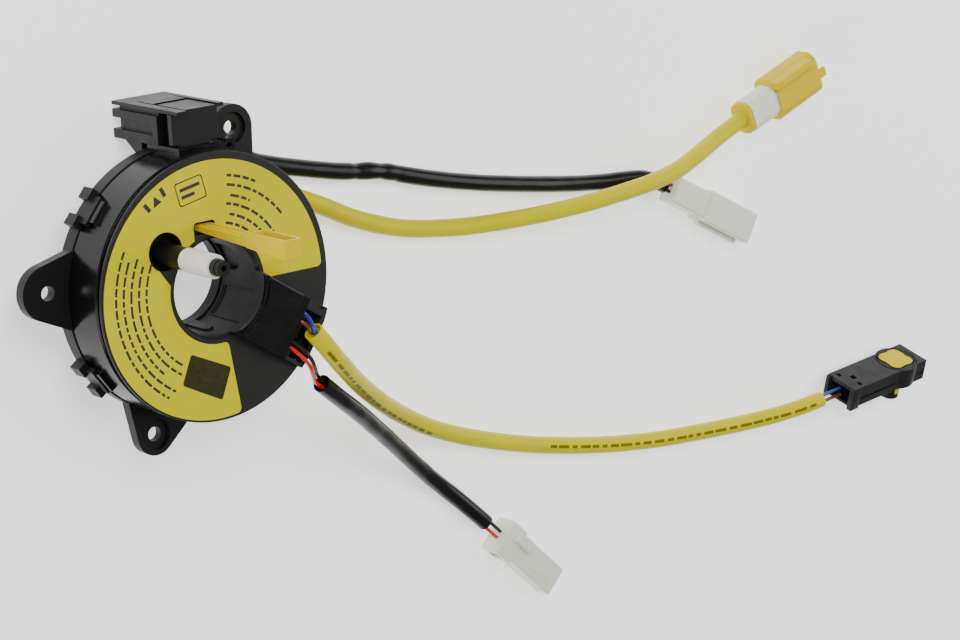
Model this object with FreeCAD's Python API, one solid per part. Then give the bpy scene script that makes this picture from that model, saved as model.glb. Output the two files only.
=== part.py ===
import FreeCAD, Part
import math
import os

from FreeCAD import Placement, Rotation, Vector

# A steering clock spring. A round case is screwed to the steering column by three ears.
# A rotor turns in it with the wheel, and a flat cable wound between them joins their wires.
# The origin is on the rotor's axis at the rear face of the ears. +Z leaves the labelled face
# and +Y points to the connector block. All sizes are in millimetres and angles in degrees.

# Case and rear cover
CASE_RADIUS = 50.0
CASE_WALL = 2.0
PARTING_Z = 4.0
CASE_FRONT_Z = 22.4
COVER_STEP = 0.4
COVER_BACK_Z = -2.8
COVER_PLATE = 1.8
SPIGOT_WALL = 1.3
SPIGOT_HEIGHT = 2.0
EDGE_BEVEL = 0.6

# Rotor
DISC_GAP = 1.4
DISC_THICKNESS = 1.8
SKIRT_DEPTH = 4.8
SKIRT_WALL = 1.2
BORE_RADIUS = 17.5
BORE_RELIEF = 0.8
HUB_WALL = 2.3
HUB_POCKET_DEPTH = 1.0
HUB_BEVEL = 1.1
RETAINER_WIDTH = 3.6
RETAINER_THICKNESS = 1.2
RETAINER_TOP_Z = 2.2
RETAINER_RIM_WIDTH = 5.0

# Running and seating clearances
RADIAL_RUN = 0.4
AXIAL_RUN = 0.3
FIT = 0.3
SLIDE_FIT = 0.3
PRESS_FIT = 0.05

# Fixing ears
EAR_THICKNESS = 4.6
EAR_REACH = 8.6
EAR_HOLE_RADIUS = 2.75
EAR_RECESS_RADIUS = 6.0
EAR_RECESS_DEPTH = 1.3
EAR_ROOT_DEPTH = 0.6
EARS = {
    "left": {"angle": 174.2, "tip": 10.3, "base": (156.5, 191.9), "recess": False},
    "bottom": {"angle": -107.5, "tip": 8.0, "base": (-125.6, -88.0), "recess": True},
    "top": {"angle": 63.8, "tip": 9.0, "base": (46.3, 81.3), "recess": True},
}

# Snap catches round the case
CATCH_ANGLES = (140.0, -145.5, 15.0, -50.0)
CATCH_HALF_WIDTH = 5.6
CATCH_HEIGHT = 2.2
CATCH_END_Z = 9.6
CATCH_START_Z = 1.0
CATCH_CHEEK = (3.2, 7.7)
CATCH_CHEEK_HEIGHT = 3.8
CATCH_CHEEK_Z = (-1.0, 5.0)
CATCH_BOSS_HEIGHT = 1.7
CATCH_BOSS_LENGTH = 3.0
CATCH_BOSS_HALF_WIDTH = 4.4

# Connector block and the plinth that carries it
BLOCK_X = (-9.4, 10.2)
BLOCK_REAR_Z = -20.8
BLOCK_FRONT_Z = 8.2
PLINTH_X = (-8.4, 13.5)
PLINTH_Z = (-0.8, 19.7)
PLINTH_RISE = 1.8
LOWER_RAIL_HEIGHT = 3.5
UPPER_RAIL_RISE = 7.8
UPPER_RAIL_HEIGHT = 3.0
BLOCK_TOP_RISE = 1.6
RAIL_RECESS = 1.2
RECESS_REAR_Z = -17.4
RAIL_STRIP = 3.2
LID_THICKNESS = 1.3
LID_RIGHT_X = 13.9
LID_SPLIT_Z = -1.2
LID_FRONT_Z = 21.7
LID_RIGHT_FRONT_Z = 17.4
LID_LEFT_ARM = 4.4
LID_RIGHT_ARM = 2.8
LID_GAP = 0.4
LID_SLIT = 0.6
LID_SLIT_LENGTH = 9.0
CAP_Z = (15.8, 18.2)
CAP_RISE = 1.2
CAP_TOP_DROP = 0.2
NECK_X = (-5.4, 6.2)
GUSSET_FOOT_DROP = 4.1
GUSSET_REAR_Z = -13.4
GUSSET_FRONT_Z = -7.3
GUSSET_SEAT_DROP = 6.3
LUG_X = (11.9, 16.4)
LUG_RISE = 0.5
LUG_LENGTH = 4.7
LUG_SLOT_X = (12.3, 14.6)
LUG_SLOT_DROP = 3.1
LUG_SLOT_WIDTH = 1.5
WINDOW_HALF_WIDTH = 6.0
WINDOW_Z = (7.4, 14.4)
WINDOW_DEPTH = 2.1

# Flat cable and the sheets it slides on
CABLE_Z = (0.8, 17.2)
CABLE_THICKNESS = 0.35
CABLE_TURNS = 4
CABLE_FLAT_LENGTH = 5.0
SHEET_THICKNESS = 0.4
SHEET_EDGE_GAP = 2.1

# Label
LABEL_THICKNESS = 0.2
LABEL_EDGE = 1.9
LABEL_INNER_RADIUS = 20.8
LABEL_OFFSET = (-0.9, -0.8)
LABEL_OPEN_ANGLES = (-82.0, -0.7)
LABEL_MARGIN = 0.3
LABEL_CORNER_RADIUS = 2.0
LABEL_SLOT_RADIUS = 1.4
LABEL_HOLLOW = ((-25.4, 12.0), (-20.2, 4.4), (-15.0, 8.0), (-18.0, 15.0))

# Drive post and its socket
SOCKET_CENTRE = (-21.3, 17.2)
SOCKET_RADIUS = 6.95
SOCKET_WALL = 1.2
SOCKET_FLOOR_Z = 19.6
POST_CENTRE = (-19.8, 15.9)
POST_RADIUS = 4.2
POST_SHOULDER_Z = 36.8
POST_NECK_RADIUS = 3.1
POST_TIP_RADIUS = 2.8
POST_TIP_Z = 57.0
POST_TOP_Z = 59.2
POST_HOLE_RADIUS = 1.15
POST_HOLE_DEPTH = 4.0
SLEEVE_RADIUS = 4.4
SLEEVE_TOP_Z = 54.6
SLEEVE_ROUND = 0.9

# Locking tab and its slot
TAB_X = (-7.0, -0.6)
TAB_BACK_Y = 24.4
TAB_FOOT_Z = 19.2
TAB_FACE_Y = 22.3
TAB_WAIST_Z = 56.0
TAB_WAIST_Y = 20.7
TAB_TOP_Z = 79.2
TAB_TOP_Y = 19.2
GRIP_X = (-7.5, -0.1)
GRIP_BACK_Y = 26.3
GRIP_REAR_Z = 57.5
GRIP_WALL = 1.1
TAB_GROOVE_CENTRES = (-5.2, -2.4)
TAB_GROOVE_WIDTH = 0.9
TAB_GROOVE_DEPTH = 0.5
SLOT_X = (-8.4, 0.4)
SLOT_Y = (20.9, 25.2)
GUIDE_WALL = 1.2

# Wire outlet on the rotor, along its own direction A and across it B
OUTLET_ANGLE = -34.0
OUTLET_B = (-12.0, 12.5)
OUTLET_NEAR_WALL = 1.4
OUTLET_FAR_WALL = 4.0
OUTLET_EDGE = 0.6
OUTLET_END_WALL = 2.0
OUTLET_WALL_TOP_Z = 28.2
TRAY_FLOOR_Z = 19.6
TRAY_START_A = 22.0
ROOF_THICKNESS = 2.0
ROOF_SETBACK = 14.8
LEDGE_REACH = 3.8
LEDGE_THICKNESS = 1.2
ROOF_GROOVE = (1.9, 2.7)
ROOF_GROOVE_DEPTH = 0.5
CARRIER_END_GAP = 6.2
CARRIER_STEP_LENGTH = 8.0
CARRIER_LOW_TOP_Z = 25.0
COMB_THICKNESS = 1.6
COMB_TOP_Z = 27.4
LEG_B = (-8.0, 0.0)
LEG_THICKNESS = 1.4
LEG_FOOT_Z = 3.0
TERMINAL_B = (-6.9, -4.5, 3.6, 7.1)
TERMINAL_WIDTH = 1.6
TERMINAL_THICKNESS = 0.8
TERMINAL_LENGTH = 2.8
WIRE_START_Z = 27.0
TAIL_HALF_WIDTH = 2.0
TAIL_THICKNESS = 0.5

# Cords and wires
BLACK_SLEEVE_DIAMETER = 7.0
YELLOW_SLEEVE_DIAMETER = 7.4
WIRE_DIAMETER = 1.6
WIRE_SPACING = 1.5
ARC_SHARE = 0.45
FLOOR_Z = BLOCK_REAR_Z

# Sizes worked out from those above
CASE_INNER = CASE_RADIUS - CASE_WALL
COVER_RADIUS = CASE_RADIUS + COVER_STEP
COVER_INSIDE_Z = COVER_BACK_Z + COVER_PLATE
DISC_REAR_Z = CASE_FRONT_Z + DISC_GAP
FACE_Z = DISC_REAR_Z + DISC_THICKNESS
SKIRT_RADIUS = CASE_INNER - RADIAL_RUN
HUB_BORE = BORE_RADIUS + BORE_RELIEF
HUB_RADIUS = HUB_BORE + HUB_WALL
RETAINER_RADIUS = HUB_RADIUS + RETAINER_WIDTH
TRAY_B = (OUTLET_B[0] + OUTLET_NEAR_WALL, OUTLET_B[1] - OUTLET_FAR_WALL)
TRAY_UNDER_Z = TRAY_FLOOR_Z - 1.4
FULL_TURN = 360.0

# What follows the case's wall
EAR_CIRCLE_RADIUS = CASE_RADIUS + EAR_REACH
EAR_BASE_RADIUS = CASE_RADIUS - EAR_ROOT_DEPTH
LABEL_RADIUS = CASE_RADIUS - LABEL_EDGE
SHEET_INNER_RADIUS = HUB_RADIUS + RADIAL_RUN + RETAINER_RIM_WIDTH + RADIAL_RUN
SHEET_OUTER_RADIUS = CASE_INNER - SHEET_EDGE_GAP
WINDOW_INNER_Y = CASE_INNER - WINDOW_DEPTH
PLINTH_TOP_Y = CASE_RADIUS + PLINTH_RISE
LOWER_RAIL_TOP_Y = PLINTH_TOP_Y + LOWER_RAIL_HEIGHT
UPPER_RAIL_Y = (PLINTH_TOP_Y + UPPER_RAIL_RISE, PLINTH_TOP_Y + UPPER_RAIL_RISE + UPPER_RAIL_HEIGHT)
BLOCK_TOP_Y = UPPER_RAIL_Y[1] + BLOCK_TOP_RISE
CAP_Y = (PLINTH_TOP_Y + CAP_RISE, BLOCK_TOP_Y - CAP_TOP_DROP)
GUSSET_FOOT_Y = PLINTH_TOP_Y - GUSSET_FOOT_DROP
GUSSET_SEAT_Y = PLINTH_TOP_Y - GUSSET_SEAT_DROP
LUG_TOP_Y = PLINTH_TOP_Y + LUG_RISE
LUG_SLOT_Y = (LUG_TOP_Y - LUG_SLOT_DROP, LUG_TOP_Y - LUG_SLOT_DROP + LUG_SLOT_WIDTH)

# What follows the outlet's end wall
OUTLET_END_A = CASE_RADIUS - OUTLET_EDGE
TRAY_END_A = OUTLET_END_A - OUTLET_END_WALL
ROOF_END_A = OUTLET_END_A - ROOF_SETBACK
LEDGE_END_A = ROOF_END_A + LEDGE_REACH
CARRIER_END_A = TRAY_END_A - CARRIER_END_GAP
CARRIER_STEP_A = CARRIER_END_A - CARRIER_STEP_LENGTH
TERMINAL_END_A = CARRIER_STEP_A + TERMINAL_LENGTH


def block(x, y, z):
    """A block between three pairs of low and high places."""
    corner = Vector(x[0], y[0], z[0])
    return Part.makeBox(x[1] - x[0], y[1] - y[0], z[1] - z[0], corner)


def disc(radius, z, centre=(0.0, 0.0)):
    """An upright cylinder."""
    return Part.makeCylinder(radius, z[1] - z[0], Vector(centre[0], centre[1], z[0]))


def ring(inner, outer, z):
    """An upright tube round the rotor's axis."""
    return disc(outer, z).cut(disc(inner, z))


def wedge(radius, angles, z):
    """A sector of a cylinder round the rotor's axis."""
    sweep = angles[1] - angles[0]
    sector = Part.makeCylinder(radius, z[1] - z[0], Vector(0, 0, z[0]), Vector(0, 0, 1), sweep)
    return spun(sector, angles[0])


def turned(profile):
    """The solid that a closed outline of radius and height makes round the rotor's axis."""
    outline = [Vector(radius, 0, height) for radius, height in profile]
    outline.append(outline[0])
    face = Part.Face(Part.makePolygon(outline))
    return face.revolve(Vector(0, 0, 0), Vector(0, 0, 1), FULL_TURN)


def prism(outline, low, high, plane):
    """A polygon in the plane named by two letters, carried along the third axis."""
    corners = []
    for first, second in outline:
        place = {plane[0]: first, plane[1]: second}
        lacking = [letter for letter in "xyz" if letter not in place][0]
        place[lacking] = low
        corners.append(Vector(place["x"], place["y"], place["z"]))
    corners.append(corners[0])
    travel = {"x": 0, "y": 0, "z": 0}
    travel[lacking] = high - low
    return Part.Face(Part.makePolygon(corners)).extrude(Vector(travel["x"], travel["y"], travel["z"]))


def spun(shape, angle):
    """A copy turned about the rotor's axis."""
    copy = shape.copy()
    copy.rotate(Vector(0, 0, 0), Vector(0, 0, 1), angle)
    return copy


def polar(radius, angle):
    """The place at a radius and an angle round the rotor's axis."""
    return Vector(radius * math.cos(math.radians(angle)), radius * math.sin(math.radians(angle)), 0)


def rounded(shape, radius, chosen):
    """The shape with the chosen edges rounded."""
    edges = [edge for edge in shape.Edges if chosen(edge)]
    return shape.makeFillet(radius, edges)


def runs_along(edge, axis):
    """Whether an edge is straight and lies along an axis."""
    if edge.Curve.TypeId != "Part::GeomLine":
        return False
    return abs(abs(edge.tangentAt(edge.FirstParameter).dot(axis)) - 1.0) < 1e-6


def rounded_bar(x, half_width, half_height, radius):
    """A bar along X with its long edges rounded."""
    bar = block(x, (-half_width, half_width), (-half_height, half_height))
    return rounded(bar, radius, lambda edge: runs_along(edge, Vector(1, 0, 0)))


def one_solid(shape):
    """The single clean solid of a shape."""
    clean = shape.removeSplitter()
    return clean.Solids[0]


def ear(angle, tip, base, recess):
    """One fixing ear: a tapered plate with a round tip and a screw hole."""
    centre = polar(EAR_CIRCLE_RADIUS, angle)
    first = polar(EAR_BASE_RADIUS, base[0])
    last = polar(EAR_BASE_RADIUS, base[1])
    touch_first = tangent_point(first, centre, tip, -1)
    touch_last = tangent_point(last, centre, tip, 1)
    outward = centre + polar(tip, angle)
    edges = [
        Part.LineSegment(first, touch_first).toShape(),
        Part.Arc(touch_first, outward, touch_last).toShape(),
        Part.LineSegment(touch_last, last).toShape(),
        Part.LineSegment(last, first).toShape(),
    ]
    plate = Part.Face(Part.Wire(edges)).extrude(Vector(0, 0, EAR_THICKNESS))
    plate = plate.cut(disc(EAR_BASE_RADIUS, (0, EAR_THICKNESS)))
    plate = plate.cut(disc(CASE_RADIUS + PRESS_FIT, (PARTING_Z, EAR_THICKNESS)))
    place = (centre.x, centre.y)
    plate = plate.cut(disc(EAR_HOLE_RADIUS, (0, EAR_THICKNESS), place))
    if recess:
        recess_z = (EAR_THICKNESS - EAR_RECESS_DEPTH, EAR_THICKNESS)
        plate = plate.cut(disc(EAR_RECESS_RADIUS, recess_z, place))
    return plate


def tangent_point(outside, centre, radius, side):
    """Where the straight line from a point touches a circle, on the chosen side."""
    away = outside - centre
    distance = away.Length
    lean = math.degrees(math.acos(radius / distance))
    bearing = math.degrees(math.atan2(away.y, away.x))
    return centre + polar(radius, bearing - side * lean)


def catch():
    """The hook of the rear cover that snaps over a boss, at angle zero."""
    wall = COVER_RADIUS - EDGE_BEVEL
    tongue_x = (CASE_RADIUS, CASE_RADIUS + CATCH_HEIGHT)
    tongue_y = (-CATCH_HALF_WIDTH, CATCH_HALF_WIDTH)
    hook = block(tongue_x, tongue_y, (CATCH_START_Z, CATCH_END_Z))
    for side in (-1, 1):
        cheek_y = sorted((side * CATCH_CHEEK[0], side * CATCH_CHEEK[1]))
        cheek_x = (wall, CASE_RADIUS + CATCH_CHEEK_HEIGHT)
        hook = hook.fuse(block(cheek_x, cheek_y, CATCH_CHEEK_Z))
    skin = CASE_RADIUS + PRESS_FIT
    return hook.cut(disc(skin, (PARTING_Z, CASE_FRONT_Z)))


def catch_boss():
    """The boss of the case that holds a hook, at angle zero."""
    boss_x = (CASE_INNER + PRESS_FIT, CASE_RADIUS + CATCH_BOSS_HEIGHT)
    boss_y = (-CATCH_BOSS_HALF_WIDTH, CATCH_BOSS_HALF_WIDTH)
    boss_z = (CATCH_END_Z + PRESS_FIT, CATCH_END_Z + CATCH_BOSS_LENGTH)
    return block(boss_x, boss_y, boss_z).cut(disc(CASE_INNER + PRESS_FIT, boss_z))


def outer_case():
    """The round wall, with the plinth for the connector block moulded on it."""
    shell = turned([
        (CASE_INNER, PARTING_Z),
        (CASE_RADIUS, PARTING_Z),
        (CASE_RADIUS, CASE_FRONT_Z - EDGE_BEVEL),
        (CASE_RADIUS - EDGE_BEVEL, CASE_FRONT_Z),
        (CASE_INNER, CASE_FRONT_Z),
    ])
    for angle in CATCH_ANGLES:
        shell = shell.fuse(spun(catch_boss(), angle))
    plinth = block(PLINTH_X, (GUSSET_SEAT_Y, PLINTH_TOP_Y), PLINTH_Z)
    lug_z = (PLINTH_Z[1] - LUG_LENGTH, PLINTH_Z[1])
    plinth = plinth.fuse(block(LUG_X, (GUSSET_SEAT_Y, LUG_TOP_Y), lug_z))
    plinth = plinth.cut(disc(CASE_INNER + PRESS_FIT, PLINTH_Z))
    plinth = plinth.cut(disc(COVER_RADIUS + PRESS_FIT, (PLINTH_Z[0], PARTING_Z)))
    plinth = plinth.cut(block(LUG_SLOT_X, LUG_SLOT_Y, lug_z))
    plinth = plinth.cut(ear(**EARS["top"]))
    shell = shell.fuse(plinth)
    window_x = (-WINDOW_HALF_WIDTH, WINDOW_HALF_WIDTH)
    shell = shell.cut(block(window_x, (WINDOW_INNER_Y, PLINTH_TOP_Y), WINDOW_Z))
    return one_solid(shell)


def rear_cover():
    """The back plate, its rim and spigot, the three ears and the snap hooks."""
    hole = HUB_RADIUS + RADIAL_RUN
    recess = RETAINER_RADIUS + RADIAL_RUN
    recess_z = COVER_BACK_Z + RETAINER_THICKNESS + AXIAL_RUN
    rim_radius = hole + RETAINER_RIM_WIDTH
    rim_z = recess_z + COVER_PLATE
    spigot = CASE_INNER - FIT
    shape = turned([
        (recess, COVER_BACK_Z),
        (COVER_RADIUS - EDGE_BEVEL, COVER_BACK_Z),
        (COVER_RADIUS, COVER_BACK_Z + EDGE_BEVEL),
        (COVER_RADIUS, PARTING_Z),
        (spigot, PARTING_Z),
        (spigot, PARTING_Z + SPIGOT_HEIGHT),
        (spigot - SPIGOT_WALL, PARTING_Z + SPIGOT_HEIGHT),
        (spigot - SPIGOT_WALL, COVER_INSIDE_Z),
        (rim_radius, COVER_INSIDE_Z),
        (rim_radius, rim_z),
        (hole, rim_z),
        (hole, recess_z),
        (recess, recess_z),
    ])
    for sizes in EARS.values():
        shape = shape.fuse(ear(**sizes))
    for angle in CATCH_ANGLES:
        shape = shape.fuse(spun(catch(), angle))
    return one_solid(shape)


def connector_block():
    """The moulded block that takes the rear wires: two side rails round a recess, and a gusset."""
    core_x = (BLOCK_X[0] + RAIL_RECESS, BLOCK_X[1])
    core = block(core_x, (PLINTH_TOP_Y, UPPER_RAIL_Y[1]), (RECESS_REAR_Z, BLOCK_FRONT_Z))
    top_x = (BLOCK_X[0] + RAIL_RECESS, BLOCK_X[1] - RAIL_RECESS)
    shape = core.fuse(block(top_x, (UPPER_RAIL_Y[1], BLOCK_TOP_Y), (RECESS_REAR_Z, BLOCK_FRONT_Z)))
    full_z = (BLOCK_REAR_Z, BLOCK_FRONT_Z)
    shape = shape.fuse(block(BLOCK_X, UPPER_RAIL_Y, full_z))
    shape = shape.fuse(block(BLOCK_X, (PLINTH_TOP_Y, LOWER_RAIL_TOP_Y), full_z))
    strip_z = (BLOCK_FRONT_Z - RAIL_STRIP, BLOCK_FRONT_Z)
    shape = shape.fuse(block(BLOCK_X, (PLINTH_TOP_Y, UPPER_RAIL_Y[1]), strip_z))
    neck_z = (BLOCK_FRONT_Z, CAP_Z[0])
    shape = shape.fuse(block(NECK_X, (PLINTH_TOP_Y, BLOCK_TOP_Y), neck_z))
    gusset = prism([
        (PLINTH_TOP_Y, GUSSET_REAR_Z),
        (GUSSET_FOOT_Y, GUSSET_FRONT_Z),
        (GUSSET_SEAT_Y, COVER_BACK_Z),
        (PLINTH_TOP_Y, COVER_BACK_Z),
    ], BLOCK_X[0], BLOCK_X[1], "yz")
    return one_solid(shape.fuse(gusset))


def block_cap():
    """The front plate of the block, with a tongue that fills the lid's notch."""
    face = block((BLOCK_X[0] - AXIAL_RUN, BLOCK_X[1]), CAP_Y, CAP_Z)
    tongue_x = lid_notch()
    tongue_y = (BLOCK_TOP_Y, BLOCK_TOP_Y + LID_THICKNESS - AXIAL_RUN)
    inner_x = (tongue_x[0] + LID_GAP, tongue_x[1] - LID_GAP)
    tongue = block(inner_x, tongue_y, (LID_SPLIT_Z + LID_GAP, CAP_Z[1]))
    root = block(inner_x, (CAP_Y[1], BLOCK_TOP_Y), CAP_Z)
    shape = face.fuse(root).fuse(tongue)
    foot = block(NECK_X, (PLINTH_TOP_Y, CAP_Y[0]), CAP_Z)
    return one_solid(shape.fuse(foot))


def lid_notch():
    """The gap between the lid's two arms, across the block."""
    return (BLOCK_X[0] + LID_LEFT_ARM, LID_RIGHT_X - LID_RIGHT_ARM)


def block_lid():
    """The plate on the block, with a long and a short arm beside the cap's tongue."""
    lid_y = (BLOCK_TOP_Y, BLOCK_TOP_Y + LID_THICKNESS)
    plate = block((BLOCK_X[0], LID_RIGHT_X), lid_y, (BLOCK_REAR_Z, LID_FRONT_Z))
    notch = lid_notch()
    plate = plate.cut(block(notch, lid_y, (LID_SPLIT_Z, LID_FRONT_Z)))
    plate = plate.cut(block((notch[1], LID_RIGHT_X), lid_y, (LID_RIGHT_FRONT_Z, LID_FRONT_Z)))
    for start in (notch[0], notch[1] - LID_SLIT):
        slit_z = (LID_SPLIT_Z - LID_SLIT_LENGTH, LID_SPLIT_Z)
        plate = plate.cut(block((start, start + LID_SLIT), lid_y, slit_z))
    return one_solid(plate)


def stator_terminals():
    """The carrier that takes the flat cable's outer end through the wall to the block."""
    half = WINDOW_HALF_WIDTH - FIT
    height = (WINDOW_Z[0] + FIT, WINDOW_Z[1] - FIT)
    return block((-half, half), (WINDOW_INNER_Y, PLINTH_TOP_Y), height)


def flat_cable():
    """The wound flat cable: half circles whose radius grows by half a pitch at each half turn."""
    inner_radius = leg_a(0)[1]
    half_turns = 2 * CABLE_TURNS
    shift = (WINDOW_INNER_Y - inner_radius - CABLE_THICKNESS) / half_turns
    last_sweep = 90.0 - OUTLET_ANGLE
    rails = []
    for skin in (0.0, CABLE_THICKNESS):
        radius = inner_radius + skin
        start = Vector(radius, LEG_B[0], 0)
        edges = [Part.LineSegment(start, Vector(radius, 0, 0)).toShape()]
        for index in range(half_turns):
            radius_here = radius + index * shift
            edges.append(cable_arc(shift * (index % 2), radius_here, 180.0 * (index % 2), 180.0))
        radius_here = radius + half_turns * shift
        edges.append(cable_arc(0.0, radius_here, 0.0, last_sweep))
        last = polar(radius_here, last_sweep)
        end = last + polar(CABLE_FLAT_LENGTH, last_sweep + 90.0)
        edges.append(Part.LineSegment(last, end).toShape())
        rails.append((edges, start, end))
    caps = [Part.LineSegment(rails[0][index], rails[1][index]).toShape() for index in (1, 2)]
    outline = Part.Wire(Part.__sortEdges__(rails[0][0] + rails[1][0] + caps))
    strip = Part.Face(outline).extrude(Vector(0, 0, CABLE_Z[1] - CABLE_Z[0]))
    strip.translate(Vector(0, 0, CABLE_Z[0]))
    return outlet(strip)


def cable_arc(centre_x, radius, start_angle, sweep):
    """An arc of the winding from an angle, round a centre on the X axis."""
    points = [polar(radius, start_angle + share * sweep) + Vector(centre_x, 0, 0) for share in (0, 0.5, 1)]
    return Part.Arc(*points).toShape()


def slide_sheet_rear():
    """The thin ring that the flat cable slides on, on the back plate."""
    return ring(SHEET_INNER_RADIUS, SHEET_OUTER_RADIUS, (COVER_INSIDE_Z, COVER_INSIDE_Z + SHEET_THICKNESS))


def slide_sheet_front():
    """The thin ring under the rotor's cup and tray."""
    return ring(SHEET_INNER_RADIUS, SHEET_OUTER_RADIUS, (TRAY_UNDER_Z - SHEET_THICKNESS, TRAY_UNDER_Z))


def rotor():
    """The turning disc with its hub, skirt, post socket, tab guide and wire tray."""
    shape = turned([
        (HUB_BORE, RETAINER_TOP_Z),
        (HUB_RADIUS, RETAINER_TOP_Z),
        (HUB_RADIUS, DISC_REAR_Z),
        (SKIRT_RADIUS - SKIRT_WALL, DISC_REAR_Z),
        (SKIRT_RADIUS - SKIRT_WALL, DISC_REAR_Z - SKIRT_DEPTH),
        (SKIRT_RADIUS, DISC_REAR_Z - SKIRT_DEPTH),
        (SKIRT_RADIUS, DISC_REAR_Z),
        (CASE_RADIUS - EDGE_BEVEL, DISC_REAR_Z),
        (CASE_RADIUS, DISC_REAR_Z + EDGE_BEVEL),
        (CASE_RADIUS, FACE_Z - EDGE_BEVEL / 2),
        (CASE_RADIUS - EDGE_BEVEL / 2, FACE_Z),
        (HUB_BORE + HUB_BEVEL, FACE_Z),
        (HUB_BORE, FACE_Z - HUB_BEVEL),
    ])
    shape = shape.cut(arched_pocket())
    shape = shape.cut(bore_panel())
    shape = shape.fuse(bore_key())
    cup_z = (TRAY_UNDER_Z, DISC_REAR_Z)
    shape = shape.fuse(disc(SOCKET_RADIUS + SOCKET_WALL, cup_z, SOCKET_CENTRE).cut(disc(HUB_BORE, cup_z)))
    shape = shape.cut(disc(SOCKET_RADIUS, (SOCKET_FLOOR_Z, FACE_Z), SOCKET_CENTRE))
    shape = tab_guide(shape)
    shape = wire_tray(shape)
    return one_solid(shape)


def arched_pocket():
    """The round-topped recess in the bore's wall."""
    angles = (3.0, 37.0)
    low_z = 4.0
    crown_z = 15.0
    middle = (angles[0] + angles[1]) / 2
    half = HUB_BORE * math.radians((angles[1] - angles[0]) / 2)
    depth = (HUB_BORE - BORE_RELIEF, HUB_BORE + HUB_POCKET_DEPTH)
    panel = block(depth, (-half, half), (low_z, crown_z - half))
    crown = Part.makeCylinder(half, depth[1] - depth[0], Vector(depth[0], 0, crown_z - half), Vector(1, 0, 0))
    return spun(panel.fuse(crown), middle)


def bore_panel():
    """The shallow flat-ended recess in the bore's wall under the outlet."""
    angles = (-57.0, -16.0)
    foot_z = 5.0
    top_margin = 1.0
    depth = 0.5
    panel_z = (foot_z, FACE_Z - top_margin)
    return wedge(HUB_BORE + depth, angles, panel_z).cut(disc(HUB_BORE - depth, panel_z))


def bore_key():
    """The low rib in the bore that lines the rotor up with the steering shaft."""
    angle = -81.0
    half_width = 2.2
    top_z = 15.0
    rib_x = (BORE_RADIUS, HUB_BORE + HUB_POCKET_DEPTH)
    rib = block(rib_x, (-half_width, half_width), (RETAINER_TOP_Z, top_z - half_width))
    end = Part.makeCylinder(half_width, rib_x[1] - rib_x[0], Vector(rib_x[0], 0, top_z - half_width),
                            Vector(1, 0, 0))
    rib = rib.fuse(end).cut(disc(BORE_RADIUS, (RETAINER_TOP_Z, top_z)))
    return spun(rib, angle)


def tab_guide(shape):
    """The rotor with the locking tab's slot and the close guide under it."""
    guide_x = (TAB_X[0] - SLIDE_FIT - GUIDE_WALL, TAB_X[1] + SLIDE_FIT + GUIDE_WALL)
    guide_y = (HUB_BORE, TAB_BACK_Y + SLIDE_FIT + GUIDE_WALL)
    guide = block(guide_x, guide_y, (TRAY_UNDER_Z, DISC_REAR_Z))
    guide = guide.cut(disc(HUB_RADIUS - HUB_WALL / 2, (TRAY_UNDER_Z, DISC_REAR_Z)))
    shape = shape.fuse(guide)
    shape = shape.cut(block(SLOT_X, SLOT_Y, (DISC_REAR_Z, FACE_Z)))
    hole_x = (TAB_X[0] - SLIDE_FIT, TAB_X[1] + SLIDE_FIT)
    hole_y = (TAB_FACE_Y - SLIDE_FIT, TAB_BACK_Y + SLIDE_FIT)
    return shape.cut(block(hole_x, hole_y, (TRAY_UNDER_Z, FACE_Z)))


def outlet(shape):
    """A shape made along +X, turned to the direction in which the wires leave."""
    return spun(shape, OUTLET_ANGLE)


def wire_tray(shape):
    """The rotor with the open tray that the wires leave through."""
    tray_z = (TRAY_UNDER_Z, OUTLET_WALL_TOP_Z)
    outside = block((0, OUTLET_END_A), OUTLET_B, tray_z).cut(disc(HUB_BORE, tray_z))
    below = (TRAY_UNDER_Z, DISC_REAR_Z)
    outside = outside.common(disc(SKIRT_RADIUS, below).fuse(disc(CASE_RADIUS, (DISC_REAR_Z, tray_z[1]))))
    collar_z = (FACE_Z - HUB_BEVEL, OUTLET_WALL_TOP_Z)
    collar = block((0, HUB_RADIUS), OUTLET_B, collar_z).cut(disc(BORE_RADIUS, collar_z))
    inside = block((TRAY_START_A, TRAY_END_A), TRAY_B, (TRAY_FLOOR_Z, OUTLET_WALL_TOP_Z))
    within = disc(SKIRT_RADIUS - SKIRT_WALL, (TRAY_FLOOR_Z, DISC_REAR_Z))
    inside = inside.common(within.fuse(disc(CASE_RADIUS, (DISC_REAR_Z, OUTLET_WALL_TOP_Z))))
    notch_a = (TRAY_END_A - 3.4, TRAY_END_A - 0.6)
    notch_b = (OUTLET_B[1] - 1.6, OUTLET_B[1])
    notch = block(notch_a, notch_b, (OUTLET_WALL_TOP_Z - 1.0, OUTLET_WALL_TOP_Z))
    shape = shape.fuse(outlet(outside.fuse(collar)))
    leg_slot = block(leg_a(FIT), (LEG_B[0] - FIT, LEG_B[1] + FIT), (TRAY_UNDER_Z, TRAY_FLOOR_Z))
    return shape.cut(outlet(inside)).cut(outlet(notch)).cut(outlet(leg_slot))


def leg_a(room):
    """The span of the carrier's leg along the outlet, with room round it."""
    start = TRAY_START_A + FIT
    return (start - room, start + LEG_THICKNESS + room)


def lower_rotor():
    """The ring that holds the rotor in the rear cover."""
    return turned([
        (BORE_RADIUS, COVER_BACK_Z),
        (RETAINER_RADIUS, COVER_BACK_Z),
        (RETAINER_RADIUS, COVER_BACK_Z + RETAINER_THICKNESS),
        (HUB_RADIUS, COVER_BACK_Z + RETAINER_THICKNESS),
        (HUB_RADIUS, RETAINER_TOP_Z),
        (BORE_RADIUS, RETAINER_TOP_Z),
    ])


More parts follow.
